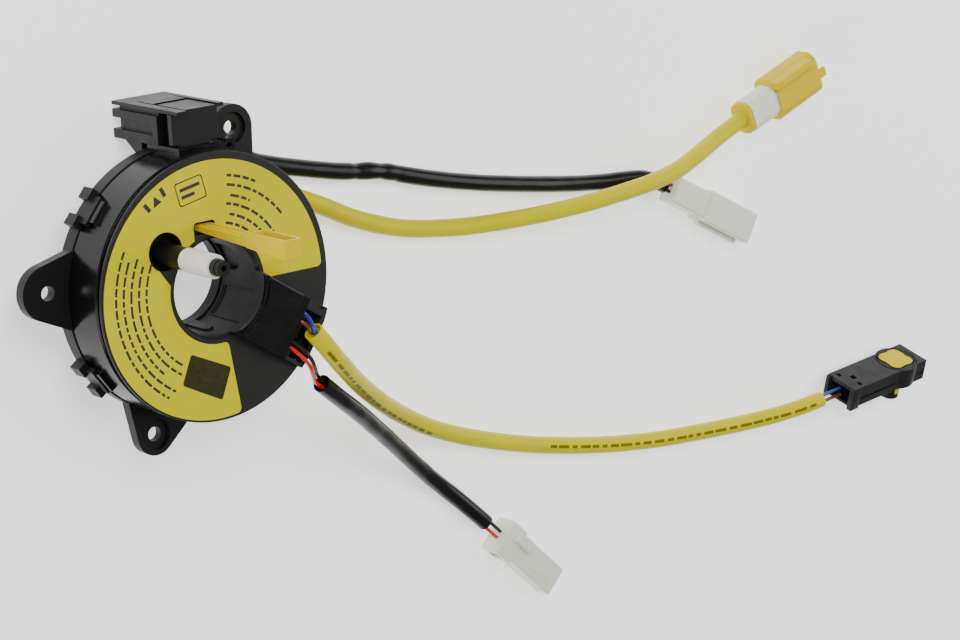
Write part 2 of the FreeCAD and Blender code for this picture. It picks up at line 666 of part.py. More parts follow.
def face_label():
    """The label, cut away round the outlet, the socket and the tab's slot."""
    label_z = (FACE_Z, FACE_Z + LABEL_THICKNESS)
    shape = disc(LABEL_RADIUS, label_z, LABEL_OFFSET)
    shape = shape.cut(disc(LABEL_INNER_RADIUS, label_z))
    shape = shape.cut(wedge(CASE_RADIUS, LABEL_OPEN_ANGLES, label_z))
    upright = Vector(0, 0, 1)
    shape = rounded(shape, LABEL_CORNER_RADIUS, lambda edge: runs_along(edge, upright)
                    and edge.CenterOfMass.x > 0 and edge.CenterOfMass.y < 0)
    shape = shape.cut(disc(SOCKET_RADIUS + LABEL_MARGIN, label_z, SOCKET_CENTRE))
    shape = shape.cut(prism(LABEL_HOLLOW, label_z[0], label_z[1], "xy"))
    slot_x = (SLOT_X[0] - LABEL_MARGIN, SLOT_X[1] + LABEL_MARGIN)
    slot_y = (LABEL_INNER_RADIUS / 2, SLOT_Y[1] + LABEL_MARGIN)
    notch = rounded(block(slot_x, slot_y, label_z), LABEL_SLOT_RADIUS, lambda edge: runs_along(edge, upright)
                    and edge.CenterOfMass.y > SLOT_Y[0])
    return one_solid(shape.cut(notch))


def outlet_cover():
    """The roof over the tray, flush with the bore, and a lower ledge over the terminals."""
    roof_z = (OUTLET_WALL_TOP_Z, OUTLET_WALL_TOP_Z + ROOF_THICKNESS)
    roof = block((0, ROOF_END_A), OUTLET_B, roof_z)
    roof = rounded(roof, ROOF_THICKNESS / 3, lambda edge: edge.CenterOfMass.z > roof_z[1] - 1e-6
                   and edge.CenterOfMass.x > 1e-6)
    ledge_z = (OUTLET_WALL_TOP_Z, OUTLET_WALL_TOP_Z + LEDGE_THICKNESS)
    roof = roof.fuse(block((ROOF_END_A - ROOF_THICKNESS, LEDGE_END_A), OUTLET_B, ledge_z))
    roof = roof.cut(disc(BORE_RADIUS, roof_z))
    groove_z = (roof_z[1] - ROOF_GROOVE_DEPTH, roof_z[1])
    groove = ring(BORE_RADIUS + ROOF_GROOVE[0], BORE_RADIUS + ROOF_GROOVE[1], groove_z)
    return one_solid(outlet(roof).cut(groove))


def terminal_carrier():
    """The insert in the tray, with its comb for the wires and its leg down to the cable's end."""
    width = (TRAY_B[0] + FIT, TRAY_B[1] - FIT)
    start = TRAY_START_A + FIT
    base = block((start, CARRIER_END_A), width, (TRAY_FLOOR_Z, CARRIER_LOW_TOP_Z))
    head = block((start, CARRIER_STEP_A), width, (CARRIER_LOW_TOP_Z, OUTLET_WALL_TOP_Z - FIT))
    comb_a = (CARRIER_END_A - COMB_THICKNESS, CARRIER_END_A)
    comb = block(comb_a, width, (CARRIER_LOW_TOP_Z, COMB_TOP_Z))
    for place in TERMINAL_B:
        half = WIRE_DIAMETER / 2 + FIT
        slot_z = (WIRE_START_Z - half, COMB_TOP_Z)
        comb = comb.cut(block(comb_a, (place - half, place + half), slot_z))
    leg = block(leg_a(0), LEG_B, (LEG_FOOT_Z, TRAY_FLOOR_Z))
    return one_solid(outlet(base.fuse(head).fuse(comb).fuse(leg)))


def outlet_terminal(place):
    """One terminal strip, from the carrier's head to the end of its wire."""
    low = WIRE_START_Z - TERMINAL_THICKNESS / 2
    width = (place - TERMINAL_WIDTH / 2, place + TERMINAL_WIDTH / 2)
    return outlet(block((CARRIER_STEP_A, TERMINAL_END_A), width, (low, low + TERMINAL_THICKNESS)))


def cable_tail():
    """The bare end of the flat cable, on the carrier's step."""
    tail_a = (CARRIER_STEP_A, CARRIER_END_A - COMB_THICKNESS)
    tail_z = (CARRIER_LOW_TOP_Z, CARRIER_LOW_TOP_Z + TAIL_THICKNESS)
    return outlet(block(tail_a, (-TAIL_HALF_WIDTH, TAIL_HALF_WIDTH), tail_z))


def drive_post():
    """The stepped post that lines the rotor up with the wheel."""
    shape = disc(POST_RADIUS, (SOCKET_FLOOR_Z, POST_SHOULDER_Z), POST_CENTRE)
    shape = shape.fuse(disc(POST_NECK_RADIUS, (POST_SHOULDER_Z, POST_TIP_Z), POST_CENTRE))
    shape = shape.fuse(disc(POST_TIP_RADIUS, (POST_TIP_Z, POST_TOP_Z), POST_CENTRE))
    return one_solid(shape.cut(disc(POST_HOLE_RADIUS, (POST_TOP_Z - POST_HOLE_DEPTH, POST_TOP_Z), POST_CENTRE)))


def post_sleeve():
    """The white sleeve on the post."""
    sleeve_z = (POST_SHOULDER_Z, SLEEVE_TOP_Z)
    shape = disc(SLEEVE_RADIUS, sleeve_z, POST_CENTRE)
    shape = rounded(shape, SLEEVE_ROUND, lambda edge: edge.Curve.TypeId == "Part::GeomCircle")
    return one_solid(shape.cut(disc(POST_NECK_RADIUS + PRESS_FIT, sleeve_z, POST_CENTRE)))


def lock_tab():
    """The tapered tab that holds the rotor in its middle place until the part is fitted."""
    strip = prism([
        (TAB_FACE_Y, TAB_FOOT_Z),
        (TAB_FACE_Y, FACE_Z),
        (TAB_WAIST_Y, TAB_WAIST_Z),
        (TAB_BACK_Y, TAB_WAIST_Z),
        (TAB_BACK_Y, TAB_FOOT_Z),
    ], TAB_X[0], TAB_X[1], "yz")
    grip = prism([
        (TAB_WAIST_Y, TAB_WAIST_Z),
        (TAB_TOP_Y, TAB_TOP_Z),
        (GRIP_BACK_Y, TAB_TOP_Z),
        (GRIP_BACK_Y, GRIP_REAR_Z),
        (TAB_BACK_Y, TAB_WAIST_Z),
    ], GRIP_X[0], GRIP_X[1], "yz")
    hollow = block((GRIP_X[0] + GRIP_WALL, GRIP_X[1] - GRIP_WALL), (TAB_WAIST_Y + GRIP_WALL, GRIP_BACK_Y),
                   (GRIP_REAR_Z + GRIP_WALL, TAB_TOP_Z - GRIP_WALL))
    shape = strip.fuse(grip).cut(hollow)
    for centre in TAB_GROOVE_CENTRES:
        groove_x = (centre - TAB_GROOVE_WIDTH / 2, centre + TAB_GROOVE_WIDTH / 2)
        groove_y = (TAB_BACK_Y - TAB_GROOVE_DEPTH, TAB_BACK_Y)
        shape = shape.cut(block(groove_x, groove_y, (FACE_Z, TAB_WAIST_Z - GRIP_WALL)))
    return one_solid(shape)


def laid(shape, entry, heading, roll):
    """A connector made along +X, rolled and turned, with its entry at a place."""
    turn = Rotation(Vector(0, 0, 1), heading).multiply(Rotation(Vector(1, 0, 0), roll))
    copy = shape.copy()
    copy.Placement = Placement(Vector(*entry), turn)
    return copy


# Rear white plug
REAR_PLUG_LENGTH = 52.0
REAR_PLUG_STEP = 21.0
REAR_PLUG_SMALL = (5.9, 4.8)
REAR_PLUG_LARGE = (7.1, 5.6)
REAR_PLUG_WALL = 1.1
REAR_PLUG_MOUTH_DEPTH = 20.0
REAR_PLUG_BAR = (21.5, 48.0)
REAR_PLUG_BAR_SIZE = (2.0, 1.3)
REAR_PLUG_ENTRY = (269.7, -14.5, FLOOR_Z + REAR_PLUG_LARGE[1])
REAR_PLUG_HEADING = -29.5
PIN_RADIUS = 0.5
PIN_LENGTH = 12.0
PIN_SPACING = 2.5
CONNECTOR_ROUND = 1.0


def rear_plug_white():
    """The white plug on the rear black cord: a small entry and a larger hollow nose."""
    small = rounded_bar((0, REAR_PLUG_STEP), REAR_PLUG_SMALL[0], REAR_PLUG_SMALL[1], CONNECTOR_ROUND)
    large = rounded_bar((REAR_PLUG_STEP, REAR_PLUG_LENGTH), REAR_PLUG_LARGE[0], REAR_PLUG_LARGE[1],
                        CONNECTOR_ROUND)
    half_y = REAR_PLUG_LARGE[0] - REAR_PLUG_WALL
    half_z = REAR_PLUG_LARGE[1] - REAR_PLUG_WALL
    mouth_x = (REAR_PLUG_LENGTH - REAR_PLUG_MOUTH_DEPTH, REAR_PLUG_LENGTH)
    mouth = block(mouth_x, (-half_y, half_y), (-half_z, half_z))
    bar_y = (-REAR_PLUG_LARGE[0] - REAR_PLUG_BAR_SIZE[0], CONNECTOR_ROUND - REAR_PLUG_LARGE[0])
    bar = block(REAR_PLUG_BAR, bar_y, (-REAR_PLUG_BAR_SIZE[1], REAR_PLUG_BAR_SIZE[1]))
    shape = one_solid(small.fuse(large).fuse(bar).cut(mouth))
    return laid(shape, REAR_PLUG_ENTRY, REAR_PLUG_HEADING, 0)


def rear_plug_pins():
    """The two contact pins in the plug's nose."""
    root = REAR_PLUG_LENGTH - REAR_PLUG_MOUTH_DEPTH
    pins = []
    for side in (-1, 1):
        place = Vector(root, side * PIN_SPACING / 2, 0)
        pins.append(Part.makeCylinder(PIN_RADIUS, PIN_LENGTH, place, Vector(1, 0, 0)))
    return laid(Part.makeCompound(pins), REAR_PLUG_ENTRY, REAR_PLUG_HEADING, 0)


# Rear yellow connector
YELLOW_LENGTH = 46.0
YELLOW_COLLAR_LENGTH = 2.2
YELLOW_BODY = (7.5, 6.0)
YELLOW_BODY_END = 31.0
YELLOW_BODY_ROUND = 4.5
YELLOW_SHELL_START = 18.5
YELLOW_SHELL = (10.0, 7.0)
YELLOW_SHELL_ROUND = 5.0
YELLOW_SHELL_WALL = 1.3
YELLOW_RAIL = (17.5, 41.0)
YELLOW_RAIL_Y = (6.2, 9.6)
YELLOW_RAIL_HEIGHT = 3.2
YELLOW_PRONG_LENGTH = 5.0
YELLOW_ENTRY = (313.9, 9.6, FLOOR_Z + YELLOW_SHELL[1])
YELLOW_HEADING = 19.5


def rear_yellow_collar():
    """The yellow ring at the entry of the rear airbag connector."""
    shape = rounded_bar((0, YELLOW_COLLAR_LENGTH), YELLOW_BODY[0] - FIT, YELLOW_BODY[1] - FIT,
                        YELLOW_BODY_ROUND)
    return laid(shape, YELLOW_ENTRY, YELLOW_HEADING, 0)


def rear_yellow_body():
    """The white body of the rear airbag connector."""
    shape = rounded_bar((YELLOW_COLLAR_LENGTH, YELLOW_BODY_END), YELLOW_BODY[0], YELLOW_BODY[1],
                        YELLOW_BODY_ROUND)
    return laid(shape, YELLOW_ENTRY, YELLOW_HEADING, 0)


def rear_yellow_shell():
    """The yellow shell round the body, with its rail and the prongs of its mouth."""
    shape = rounded_bar((YELLOW_SHELL_START, YELLOW_LENGTH), YELLOW_SHELL[0], YELLOW_SHELL[1],
                        YELLOW_SHELL_ROUND)
    rail = block(YELLOW_RAIL, YELLOW_RAIL_Y, (0, YELLOW_SHELL[1] + YELLOW_RAIL_HEIGHT))
    rail = rounded(rail, CONNECTOR_ROUND, lambda edge: edge.CenterOfMass.z > YELLOW_SHELL[1])
    shape = shape.fuse(rail)
    tip = (YELLOW_LENGTH, YELLOW_LENGTH + YELLOW_PRONG_LENGTH)
    top_z = (YELLOW_SHELL[1] - YELLOW_SHELL_WALL, YELLOW_SHELL[1])
    tongue = block((tip[0], tip[1] - 1.0), (-3.0, 1.0), top_z)
    prong_y = (-YELLOW_SHELL[0], -YELLOW_SHELL[0] + YELLOW_SHELL_WALL)
    prong = block(tip, prong_y, (-1.0, 1.0))
    shape = shape.fuse(tongue).fuse(prong)
    room = rounded_bar((0, YELLOW_BODY_END), YELLOW_BODY[0] + PRESS_FIT, YELLOW_BODY[1] + PRESS_FIT,
                       YELLOW_BODY_ROUND)
    mouth = rounded_bar((YELLOW_BODY_END, YELLOW_LENGTH), YELLOW_SHELL[0] - YELLOW_SHELL_WALL,
                        YELLOW_SHELL[1] - YELLOW_SHELL_WALL, YELLOW_SHELL_ROUND - YELLOW_SHELL_WALL)
    shape = one_solid(shape.cut(room).cut(mouth))
    return laid(shape, YELLOW_ENTRY, YELLOW_HEADING, 0)


# Front white plug
FRONT_PLUG_LENGTH = 39.0
FRONT_PLUG_COLLAR = (9.0, 7.8, 5.4)
FRONT_PLUG_BODY = (6.6, 4.7)
FRONT_PLUG_LATCH = (5.0, 16.5)
FRONT_PLUG_LATCH_Y = (0.8, 6.2)
FRONT_PLUG_LATCH_HEIGHT = 1.8
FRONT_PLUG_GROOVE = (11.0, 35.0)
FRONT_PLUG_GROOVE_SIZE = 0.7
FRONT_PLUG_CAVITY = (6.0, 1.3)
FRONT_PLUG_ENTRY = (162.4, -146.4, FLOOR_Z + FRONT_PLUG_COLLAR[2])
FRONT_PLUG_HEADING = -45.5


def front_plug_white():
    """The white plug on the front black cord: a collar with a window, a latch and a slim body."""
    length, half_y, half_z = FRONT_PLUG_COLLAR
    collar = rounded_bar((0, length), half_y, half_z, CONNECTOR_ROUND)
    body_y, body_z = FRONT_PLUG_BODY
    body = rounded_bar((length, FRONT_PLUG_LENGTH), body_y, body_z, CONNECTOR_ROUND)
    latch_z = (body_z - CONNECTOR_ROUND, body_z + FRONT_PLUG_LATCH_HEIGHT)
    latch = block(FRONT_PLUG_LATCH, FRONT_PLUG_LATCH_Y, latch_z)
    latch = rounded(latch, CONNECTOR_ROUND, lambda edge: edge.CenterOfMass.z > body_z + 1.0)
    window = block((3.0, length - 2.5), (-half_y, -half_y + 1.2), (-3.0, 3.0))
    size = FRONT_PLUG_GROOVE_SIZE
    groove = block(FRONT_PLUG_GROOVE, (-body_y / 2, -body_y / 2 + size), (body_z - size, body_z))
    shape = collar.fuse(body).fuse(latch).cut(window).cut(groove)
    depth, half = FRONT_PLUG_CAVITY
    for side in (-1, 1):
        centre = side * body_y / 2
        hole_x = (FRONT_PLUG_LENGTH - depth, FRONT_PLUG_LENGTH)
        shape = shape.cut(block(hole_x, (centre - half, centre + half), (-half, half)))
    return laid(one_solid(shape), FRONT_PLUG_ENTRY, FRONT_PLUG_HEADING, 0)


# Front airbag connector, made with its snout down and laid on its side
AIRBAG_LENGTH = 51.0
AIRBAG_HALF_WIDTH = 8.6
AIRBAG_HALF_HEIGHT = 5.1
AIRBAG_SEAM = 0.3
AIRBAG_SEAM_Z = -1.2
AIRBAG_END_LENGTH = 4.8
AIRBAG_SWELL_X = 38.4
AIRBAG_SWELL_RADIUS = 9.4
AIRBAG_SNOUT_X = 38.4
AIRBAG_SNOUT_RADIUS = 4.6
AIRBAG_SNOUT_LENGTH = 9.5
AIRBAG_SNOUT_WALL = 1.2
AIRBAG_WINDOW = (1.5, 2.6)
AIRBAG_LOCK_DEPTH = 2.6
AIRBAG_LOCK_PROUD = 0.3
AIRBAG_LOCK_CENTRE = (38.4, 0.3)
AIRBAG_LOCK_RADIUS = 7.3
AIRBAG_LOCK_LOBE = 0.9
AIRBAG_LOCK_POINTS = 16
AIRBAG_LEG_HALF = (1.1, 2.6)
AIRBAG_SOCKETS = ((3.6, 5.0), (8.0, 0.0), (6.4, -5.4))
AIRBAG_ENTRY = (371.9, -128.7, -10.3)
AIRBAG_HEADING = 4.3
AIRBAG_ROLL = -72.0


def lobed_outline(grow, z):
    """A square-ish outline with four soft lobes, as a face."""
    points = []
    for index in range(AIRBAG_LOCK_POINTS):
        angle = index * FULL_TURN / AIRBAG_LOCK_POINTS
        reach = AIRBAG_LOCK_RADIUS + grow - AIRBAG_LOCK_LOBE * math.cos(math.radians(4 * angle))
        points.append(polar(reach, angle) + Vector(AIRBAG_LOCK_CENTRE[0], AIRBAG_LOCK_CENTRE[1], z))
    curve = Part.BSplineCurve()
    curve.interpolate(points, True)
    return Part.Face(Part.Wire([curve.toShape()]))


def airbag_shell(z):
    """The connector's outline between two heights, with round swells beside the snout."""
    plain = block((0, AIRBAG_LENGTH), (-AIRBAG_HALF_WIDTH, AIRBAG_HALF_WIDTH), z)
    return plain.fuse(disc(AIRBAG_SWELL_RADIUS, z, (AIRBAG_SWELL_X, 0)))


def airbag_end(room, top):
    """The end wall at the wires' entry, from the bottom up to a height, with room past it."""
    return block((0, AIRBAG_END_LENGTH + room), (-AIRBAG_HALF_WIDTH, AIRBAG_HALF_WIDTH), (-AIRBAG_HALF_HEIGHT, top))


def airbag_body():
    """The lower shell, whose snout holds the contacts."""
    top = AIRBAG_SEAM_Z - AIRBAG_SEAM / 2
    shape = airbag_shell((-AIRBAG_HALF_HEIGHT, top))
    shape = shape.cut(airbag_end(AIRBAG_SEAM, top))
    snout_z = (-AIRBAG_HALF_HEIGHT - AIRBAG_SNOUT_LENGTH, -AIRBAG_HALF_HEIGHT)
    place = (AIRBAG_SNOUT_X, 0)
    shape = shape.fuse(disc(AIRBAG_SNOUT_RADIUS, snout_z, place))
    bore_z = (snout_z[0], top)
    shape = shape.cut(disc(AIRBAG_SNOUT_RADIUS - AIRBAG_SNOUT_WALL, bore_z, place))
    low = snout_z[0] + AIRBAG_WINDOW[1]
    window = block((AIRBAG_SNOUT_X - AIRBAG_WINDOW[0], AIRBAG_SNOUT_X + AIRBAG_WINDOW[0]),
                   (-AIRBAG_SNOUT_RADIUS, AIRBAG_SNOUT_RADIUS), (low, low + 2 * AIRBAG_WINDOW[0]))
    return laid(one_solid(shape.cut(window)), AIRBAG_ENTRY, AIRBAG_HEADING, AIRBAG_ROLL)


def airbag_cover():
    """The upper shell with its end wall, open for the yellow lock."""
    low = AIRBAG_SEAM_Z + AIRBAG_SEAM / 2
    shape = airbag_shell((low, AIRBAG_HALF_HEIGHT)).fuse(airbag_end(0, low))
    pocket = lobed_outline(SLIDE_FIT, AIRBAG_HALF_HEIGHT - AIRBAG_LOCK_DEPTH)
    shape = shape.cut(pocket.extrude(Vector(0, 0, AIRBAG_LOCK_DEPTH)))
    shape = shape.cut(airbag_lock_leg(SLIDE_FIT))
    for along, across in AIRBAG_SOCKETS:
        shape = shape.cut(block((along - 0.9, along + 0.9), (across - 0.8, across + 0.8),
                                (AIRBAG_HALF_HEIGHT - 1.5, AIRBAG_HALF_HEIGHT)))
    return laid(one_solid(shape), AIRBAG_ENTRY, AIRBAG_HEADING, AIRBAG_ROLL)


def airbag_lock_leg(room):
    """The leg of the lock that reaches down into the snout, with room round it."""
    half_x = AIRBAG_LEG_HALF[0] + room
    half_y = AIRBAG_LEG_HALF[1] + room
    low = -AIRBAG_HALF_HEIGHT - AIRBAG_SNOUT_LENGTH + AIRBAG_WINDOW[1] - room
    return block((AIRBAG_SNOUT_X - half_x, AIRBAG_SNOUT_X + half_x), (-half_y, half_y),
                 (low, AIRBAG_HALF_HEIGHT - AIRBAG_LOCK_DEPTH + room))


def airbag_lock():
    """The yellow lock: a lobed button with a leg that shows in the snout's window."""
    button = lobed_outline(0, AIRBAG_HALF_HEIGHT - AIRBAG_LOCK_DEPTH)
    shape = button.extrude(Vector(0, 0, AIRBAG_LOCK_DEPTH + AIRBAG_LOCK_PROUD))
    shape = shape.fuse(airbag_lock_leg(0))
    return laid(one_solid(shape), AIRBAG_ENTRY, AIRBAG_HEADING, AIRBAG_ROLL)


# Routes of the cords and wires, chosen by hand along the real ones
FRONT_YELLOW_ROUTE = [
    (36.4, -22.7, 32.8), (42.1, -29.6, 32.6), (51.5, -39.0, 28.0), (66.9, -51.5, 17.0),
    (84.4, -64.5, 5.5), (106.0, -78.7, -6.0), (130.5, -92.7, -14.5), (161.5, -105.2, -17.1),
    (199.7, -116.5, -17.1), (248.3, -126.4, -17.1), (296.0, -131.0, -17.1), (323.5, -132.2, -15.2),
    (344.17, -130.78, -10.3), (358.14, -129.73, -10.3),
]
FRONT_BLACK_ROUTE = [
    (47.0, -47.3, 21.5), (57.5, -56.0, 18.5), (74.1, -68.3, 10.0), (95.2, -85.0, -1.5),
    (114.3, -101.2, -11.0), (130.7, -115.5, -16.5), (141.2, -124.6, -17.3), (149.08, -132.85, -15.4),
    (155.39, -139.27, -15.4),
]
REAR_YELLOW_ROUTE = [
    (BLOCK_X[1], 54.6, -6.5), (22.0, 53.6, -7.4), (33.0, 47.2, -9.0), (42.0, 39.0, -10.8),
    (50.0, 30.5, -13.0), (60.5, 21.6, -15.0), (81.5, 10.4, -15.5), (96.6, 2.3, -16.8),
    (119.5, -5.8, -17.1), (144.0, -10.0, -17.1), (166.0, -11.6, -15.2), (190.0, -10.8, -8.2),
    (216.0, -8.8, -2.7), (256.0, -5.8, -2.7), (281.0, -1.2, -9.6), (300.70, 4.93, -13.8),
    (313.9, 9.6, -13.8),
]
REAR_BLACK_ROUTE = [
    (BLOCK_X[1], 58.4, -13.8), (22.5, 57.6, -14.8), (35.0, 51.6, -16.6), (45.0, 43.0, -17.3),
    (56.0, 34.2, -17.3), (73.0, 27.6, -17.3), (93.6, 21.9, -17.3), (111.2, 19.8, -17.3),
    (128.0, 14.3, -17.3), (157.5, 6.7, -17.3), (195.7, -0.5, -17.3), (226.0, -5.0, -17.3),
    (243.5, -6.0, -16.0), (256.90, -7.26, -15.2), (266.04, -12.43, -15.2),
]
RED_FRONT_ROUTE = [
    (26.11, -25.93, 27.0), (29.47, -28.19, 27.1), (34.98, -34.69, 30.3), (38.6, -39.9, 27.6),
    (43.29, -45.65, 22.36), (46.26, -48.11, 21.51),
]
BLACK_FRONT_ROUTE = [
    (27.45, -23.94, 27.0), (30.81, -26.20, 27.1), (36.21, -32.86, 30.3), (39.9, -38.1, 27.6),
    (44.69, -43.96, 22.36), (47.66, -46.42, 21.51),
]
BLUE_FRONT_ROUTE = [(33.94, -14.32, 27.0), (36.3, -15.9, 27.2), (37.2, -19.0, 30.6), (35.9, -22.1, 33.8)]
BROWN_FRONT_ROUTE = [(31.98, -17.22, 27.0), (34.34, -18.82, 27.2), (35.9, -20.6, 29.4), (35.9, -22.1, 31.7)]


def round_path(points):
    """Straight runs joined by tangent arcs, each as large as its two runs allow."""
    corners = [Vector(*point) for point in points]
    start = corners[0]
    edges = []
    radii = []
    for before, corner, after in zip(corners, corners[1:], corners[2:]):
        back = before - corner
        ahead = after - corner
        reach = ARC_SHARE * min(back.Length, ahead.Length)
        back.normalize()
        ahead.normalize()
        half_turn = (math.pi - back.getAngle(ahead)) / 2
        radius = reach / math.tan(half_turn)
        radii.append(radius)
        inward = back + ahead
        inward.normalize()
        centre_distance = radius / math.cos(half_turn)
        first = corner + back * reach
        last = corner + ahead * reach
        middle = corner + inward * (centre_distance - radius)
        edges.append(Part.LineSegment(start, first).toShape())
        edges.append(Part.Arc(first, middle, last).toShape())
        start = last
    edges.append(Part.LineSegment(start, corners[-1]).toShape())
    return Part.Wire(edges), radii


def tube(name, points, diameter):
    """A round solid along a route, with its radii and volume printed for a look."""
    path, radii = round_path(points)
    direction = Vector(*points[1]) - Vector(*points[0])
    circle = Part.Circle(Vector(*points[0]), direction, diameter / 2)
    shape = path.makePipeShell([Part.Wire([circle.toShape()])], True, False)
    section = math.pi * diameter ** 2 / 4
    share = shape.Volume / (section * path.Length)
    shortest = min(radii) if radii else 0
    print(f"{name}: length {path.Length:.1f}, least radius {shortest:.1f}, volume share {share:.4f}")
    return shape


def end_wire(entry, heading, gap, side):
    """The bare stretch of a wire between its sleeve's end and its plug."""
    ahead = polar(1.0, heading)
    aside = polar(1.0, heading + 90.0)
    start = Vector(*entry) + aside * (side * WIRE_SPACING) - ahead * gap
    return Part.makeCylinder(WIRE_DIAMETER / 2, gap, start, ahead)


def front_cord_sets():
    """The wires of the front cords: each has a bare stretch at the outlet and one at its plug."""
    plug_gap = (Vector(*FRONT_PLUG_ENTRY) - Vector(*FRONT_BLACK_ROUTE[-1])).Length
    airbag_gap = (Vector(*AIRBAG_ENTRY) - Vector(*FRONT_YELLOW_ROUTE[-1])).Length
    sets = {
        "front_wire_red": (RED_FRONT_ROUTE, FRONT_PLUG_ENTRY, FRONT_PLUG_HEADING, plug_gap, -1),
        "front_wire_black": (BLACK_FRONT_ROUTE, FRONT_PLUG_ENTRY, FRONT_PLUG_HEADING, plug_gap, 1),
        "front_wire_blue": (BLUE_FRONT_ROUTE, AIRBAG_ENTRY, AIRBAG_HEADING, airbag_gap, 1),
        "front_wire_brown": (BROWN_FRONT_ROUTE, AIRBAG_ENTRY, AIRBAG_HEADING, airbag_gap, -1),
    }
    pieces = {}
    for name, (route, entry, heading, gap, side) in sets.items():
        root = tube(name, route, WIRE_DIAMETER)
        pieces[name] = Part.makeCompound([root, end_wire(entry, heading, gap, side)])
    return pieces


def rear_wires():
    """The two wires between the rear black cord and its plug."""
    gap = (Vector(*REAR_PLUG_ENTRY) - Vector(*REAR_BLACK_ROUTE[-1])).Length
    sides = {"rear_wire_red": 1, "rear_wire_black": -1}
    return {name: end_wire(REAR_PLUG_ENTRY, REAR_PLUG_HEADING, gap, side) for name, side in sides.items()}


def all_pieces():
    """Every piece by its name."""
    pieces = {
        "outer_case": outer_case(),
        "rear_cover": rear_cover(),
        "connector_block": connector_block(),
        "block_cap": block_cap(),
        "block_lid": block_lid(),
        "stator_terminals": stator_terminals(),
        "flat_cable": flat_cable(),
        "slide_sheet_rear": slide_sheet_rear(),
        "slide_sheet_front": slide_sheet_front(),
        "rotor": rotor(),
        "lower_rotor": lower_rotor(),
        "face_label": face_label(),
        "outlet_cover": outlet_cover(),
        "terminal_carrier": terminal_carrier(),
        "cable_tail": cable_tail(),
        "drive_post": drive_post(),
        "post_sleeve": post_sleeve(),
        "lock_tab": lock_tab(),
        "rear_plug_white": rear_plug_white(),
        "rear_plug_pins": rear_plug_pins(),
        "rear_yellow_collar": rear_yellow_collar(),
        "rear_yellow_body": rear_yellow_body(),
        "rear_yellow_shell": rear_yellow_shell(),
        "front_plug_white": front_plug_white(),
        "airbag_body": airbag_body(),
        "airbag_cover": airbag_cover(),
        "airbag_lock": airbag_lock(),
        "front_sleeve_yellow": tube("front_sleeve_yellow", FRONT_YELLOW_ROUTE, YELLOW_SLEEVE_DIAMETER),
        "front_sleeve_black": tube("front_sleeve_black", FRONT_BLACK_ROUTE, BLACK_SLEEVE_DIAMETER),
        "rear_sleeve_yellow": tube("rear_sleeve_yellow", REAR_YELLOW_ROUTE, YELLOW_SLEEVE_DIAMETER),
        "rear_sleeve_black": tube("rear_sleeve_black", REAR_BLACK_ROUTE, BLACK_SLEEVE_DIAMETER),
    }
    for index, place in enumerate(TERMINAL_B):
        pieces[f"outlet_terminal_{index + 1}"] = outlet_terminal(place)
    pieces.update(front_cord_sets())
    pieces.update(rear_wires())
    return pieces


os.makedirs("parts", exist_ok=True)
for piece_name, piece in all_pieces().items():
    piece.exportStep(f"parts/{piece_name}.step")
    print(f"{piece_name}: {len(piece.Solids)} solid, valid {piece.isValid()}, volume {piece.Volume:.1f}")
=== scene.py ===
import math
import random

import bmesh
import bpy
from mathutils import Matrix, Vector, noise


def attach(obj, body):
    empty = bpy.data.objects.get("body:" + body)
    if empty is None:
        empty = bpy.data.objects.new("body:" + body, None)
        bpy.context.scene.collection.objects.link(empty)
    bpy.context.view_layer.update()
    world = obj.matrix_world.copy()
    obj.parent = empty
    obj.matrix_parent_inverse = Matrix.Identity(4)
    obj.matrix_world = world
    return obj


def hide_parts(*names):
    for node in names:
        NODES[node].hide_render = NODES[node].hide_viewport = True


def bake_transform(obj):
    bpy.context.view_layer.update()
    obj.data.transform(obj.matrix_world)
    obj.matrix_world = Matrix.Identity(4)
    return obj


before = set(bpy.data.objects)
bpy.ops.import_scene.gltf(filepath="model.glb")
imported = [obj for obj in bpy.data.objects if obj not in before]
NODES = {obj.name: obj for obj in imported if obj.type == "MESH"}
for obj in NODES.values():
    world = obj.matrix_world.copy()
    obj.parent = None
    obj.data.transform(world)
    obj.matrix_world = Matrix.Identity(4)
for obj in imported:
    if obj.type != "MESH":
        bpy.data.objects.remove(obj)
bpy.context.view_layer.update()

MM = 0.001

# Sizes that repeat the ones of the solid model, in millimetres
LABEL_TOP_Z = 25.8
LID_TOP_Y = 65.5
ROOF_TOP_Z = 30.2
FLOOR_Z = -20.8
YELLOW_DIAMETER = 7.4
BLACK_DIAMETER = 7.0
WIRE_DIAMETER = 1.6
WIRE_SPACING = 1.5


def polar(radius, angle, z=0.0):
    """A place at a radius and an angle in degrees, in millimetres."""
    return Vector((radius * math.cos(math.radians(angle)), radius * math.sin(math.radians(angle)), z))


# Materials. Edge radii, grain depths and scattering lengths are in metres.

SHARP_ANGLE = math.radians(32)
NOISE_SPAN = (0.3, 0.7)
YELLOW_GLOSS = (1.0, 0.80, 0.05, 1.0)
BEVEL_SAMPLES = 6
# Sockets of a mix node set to colours
MIX_FIRST = 6
MIX_SECOND = 7
MIX_RESULT = 2
SMALL_EDGE = 0.0002
EDGE = 0.00025
SOFT_EDGE = 0.0003
FINE_GRAIN = 0.00002
GRAIN = 0.00003
YELLOW_SCATTER = (0.003, 0.0025, 0.0003)
INK = "ink"


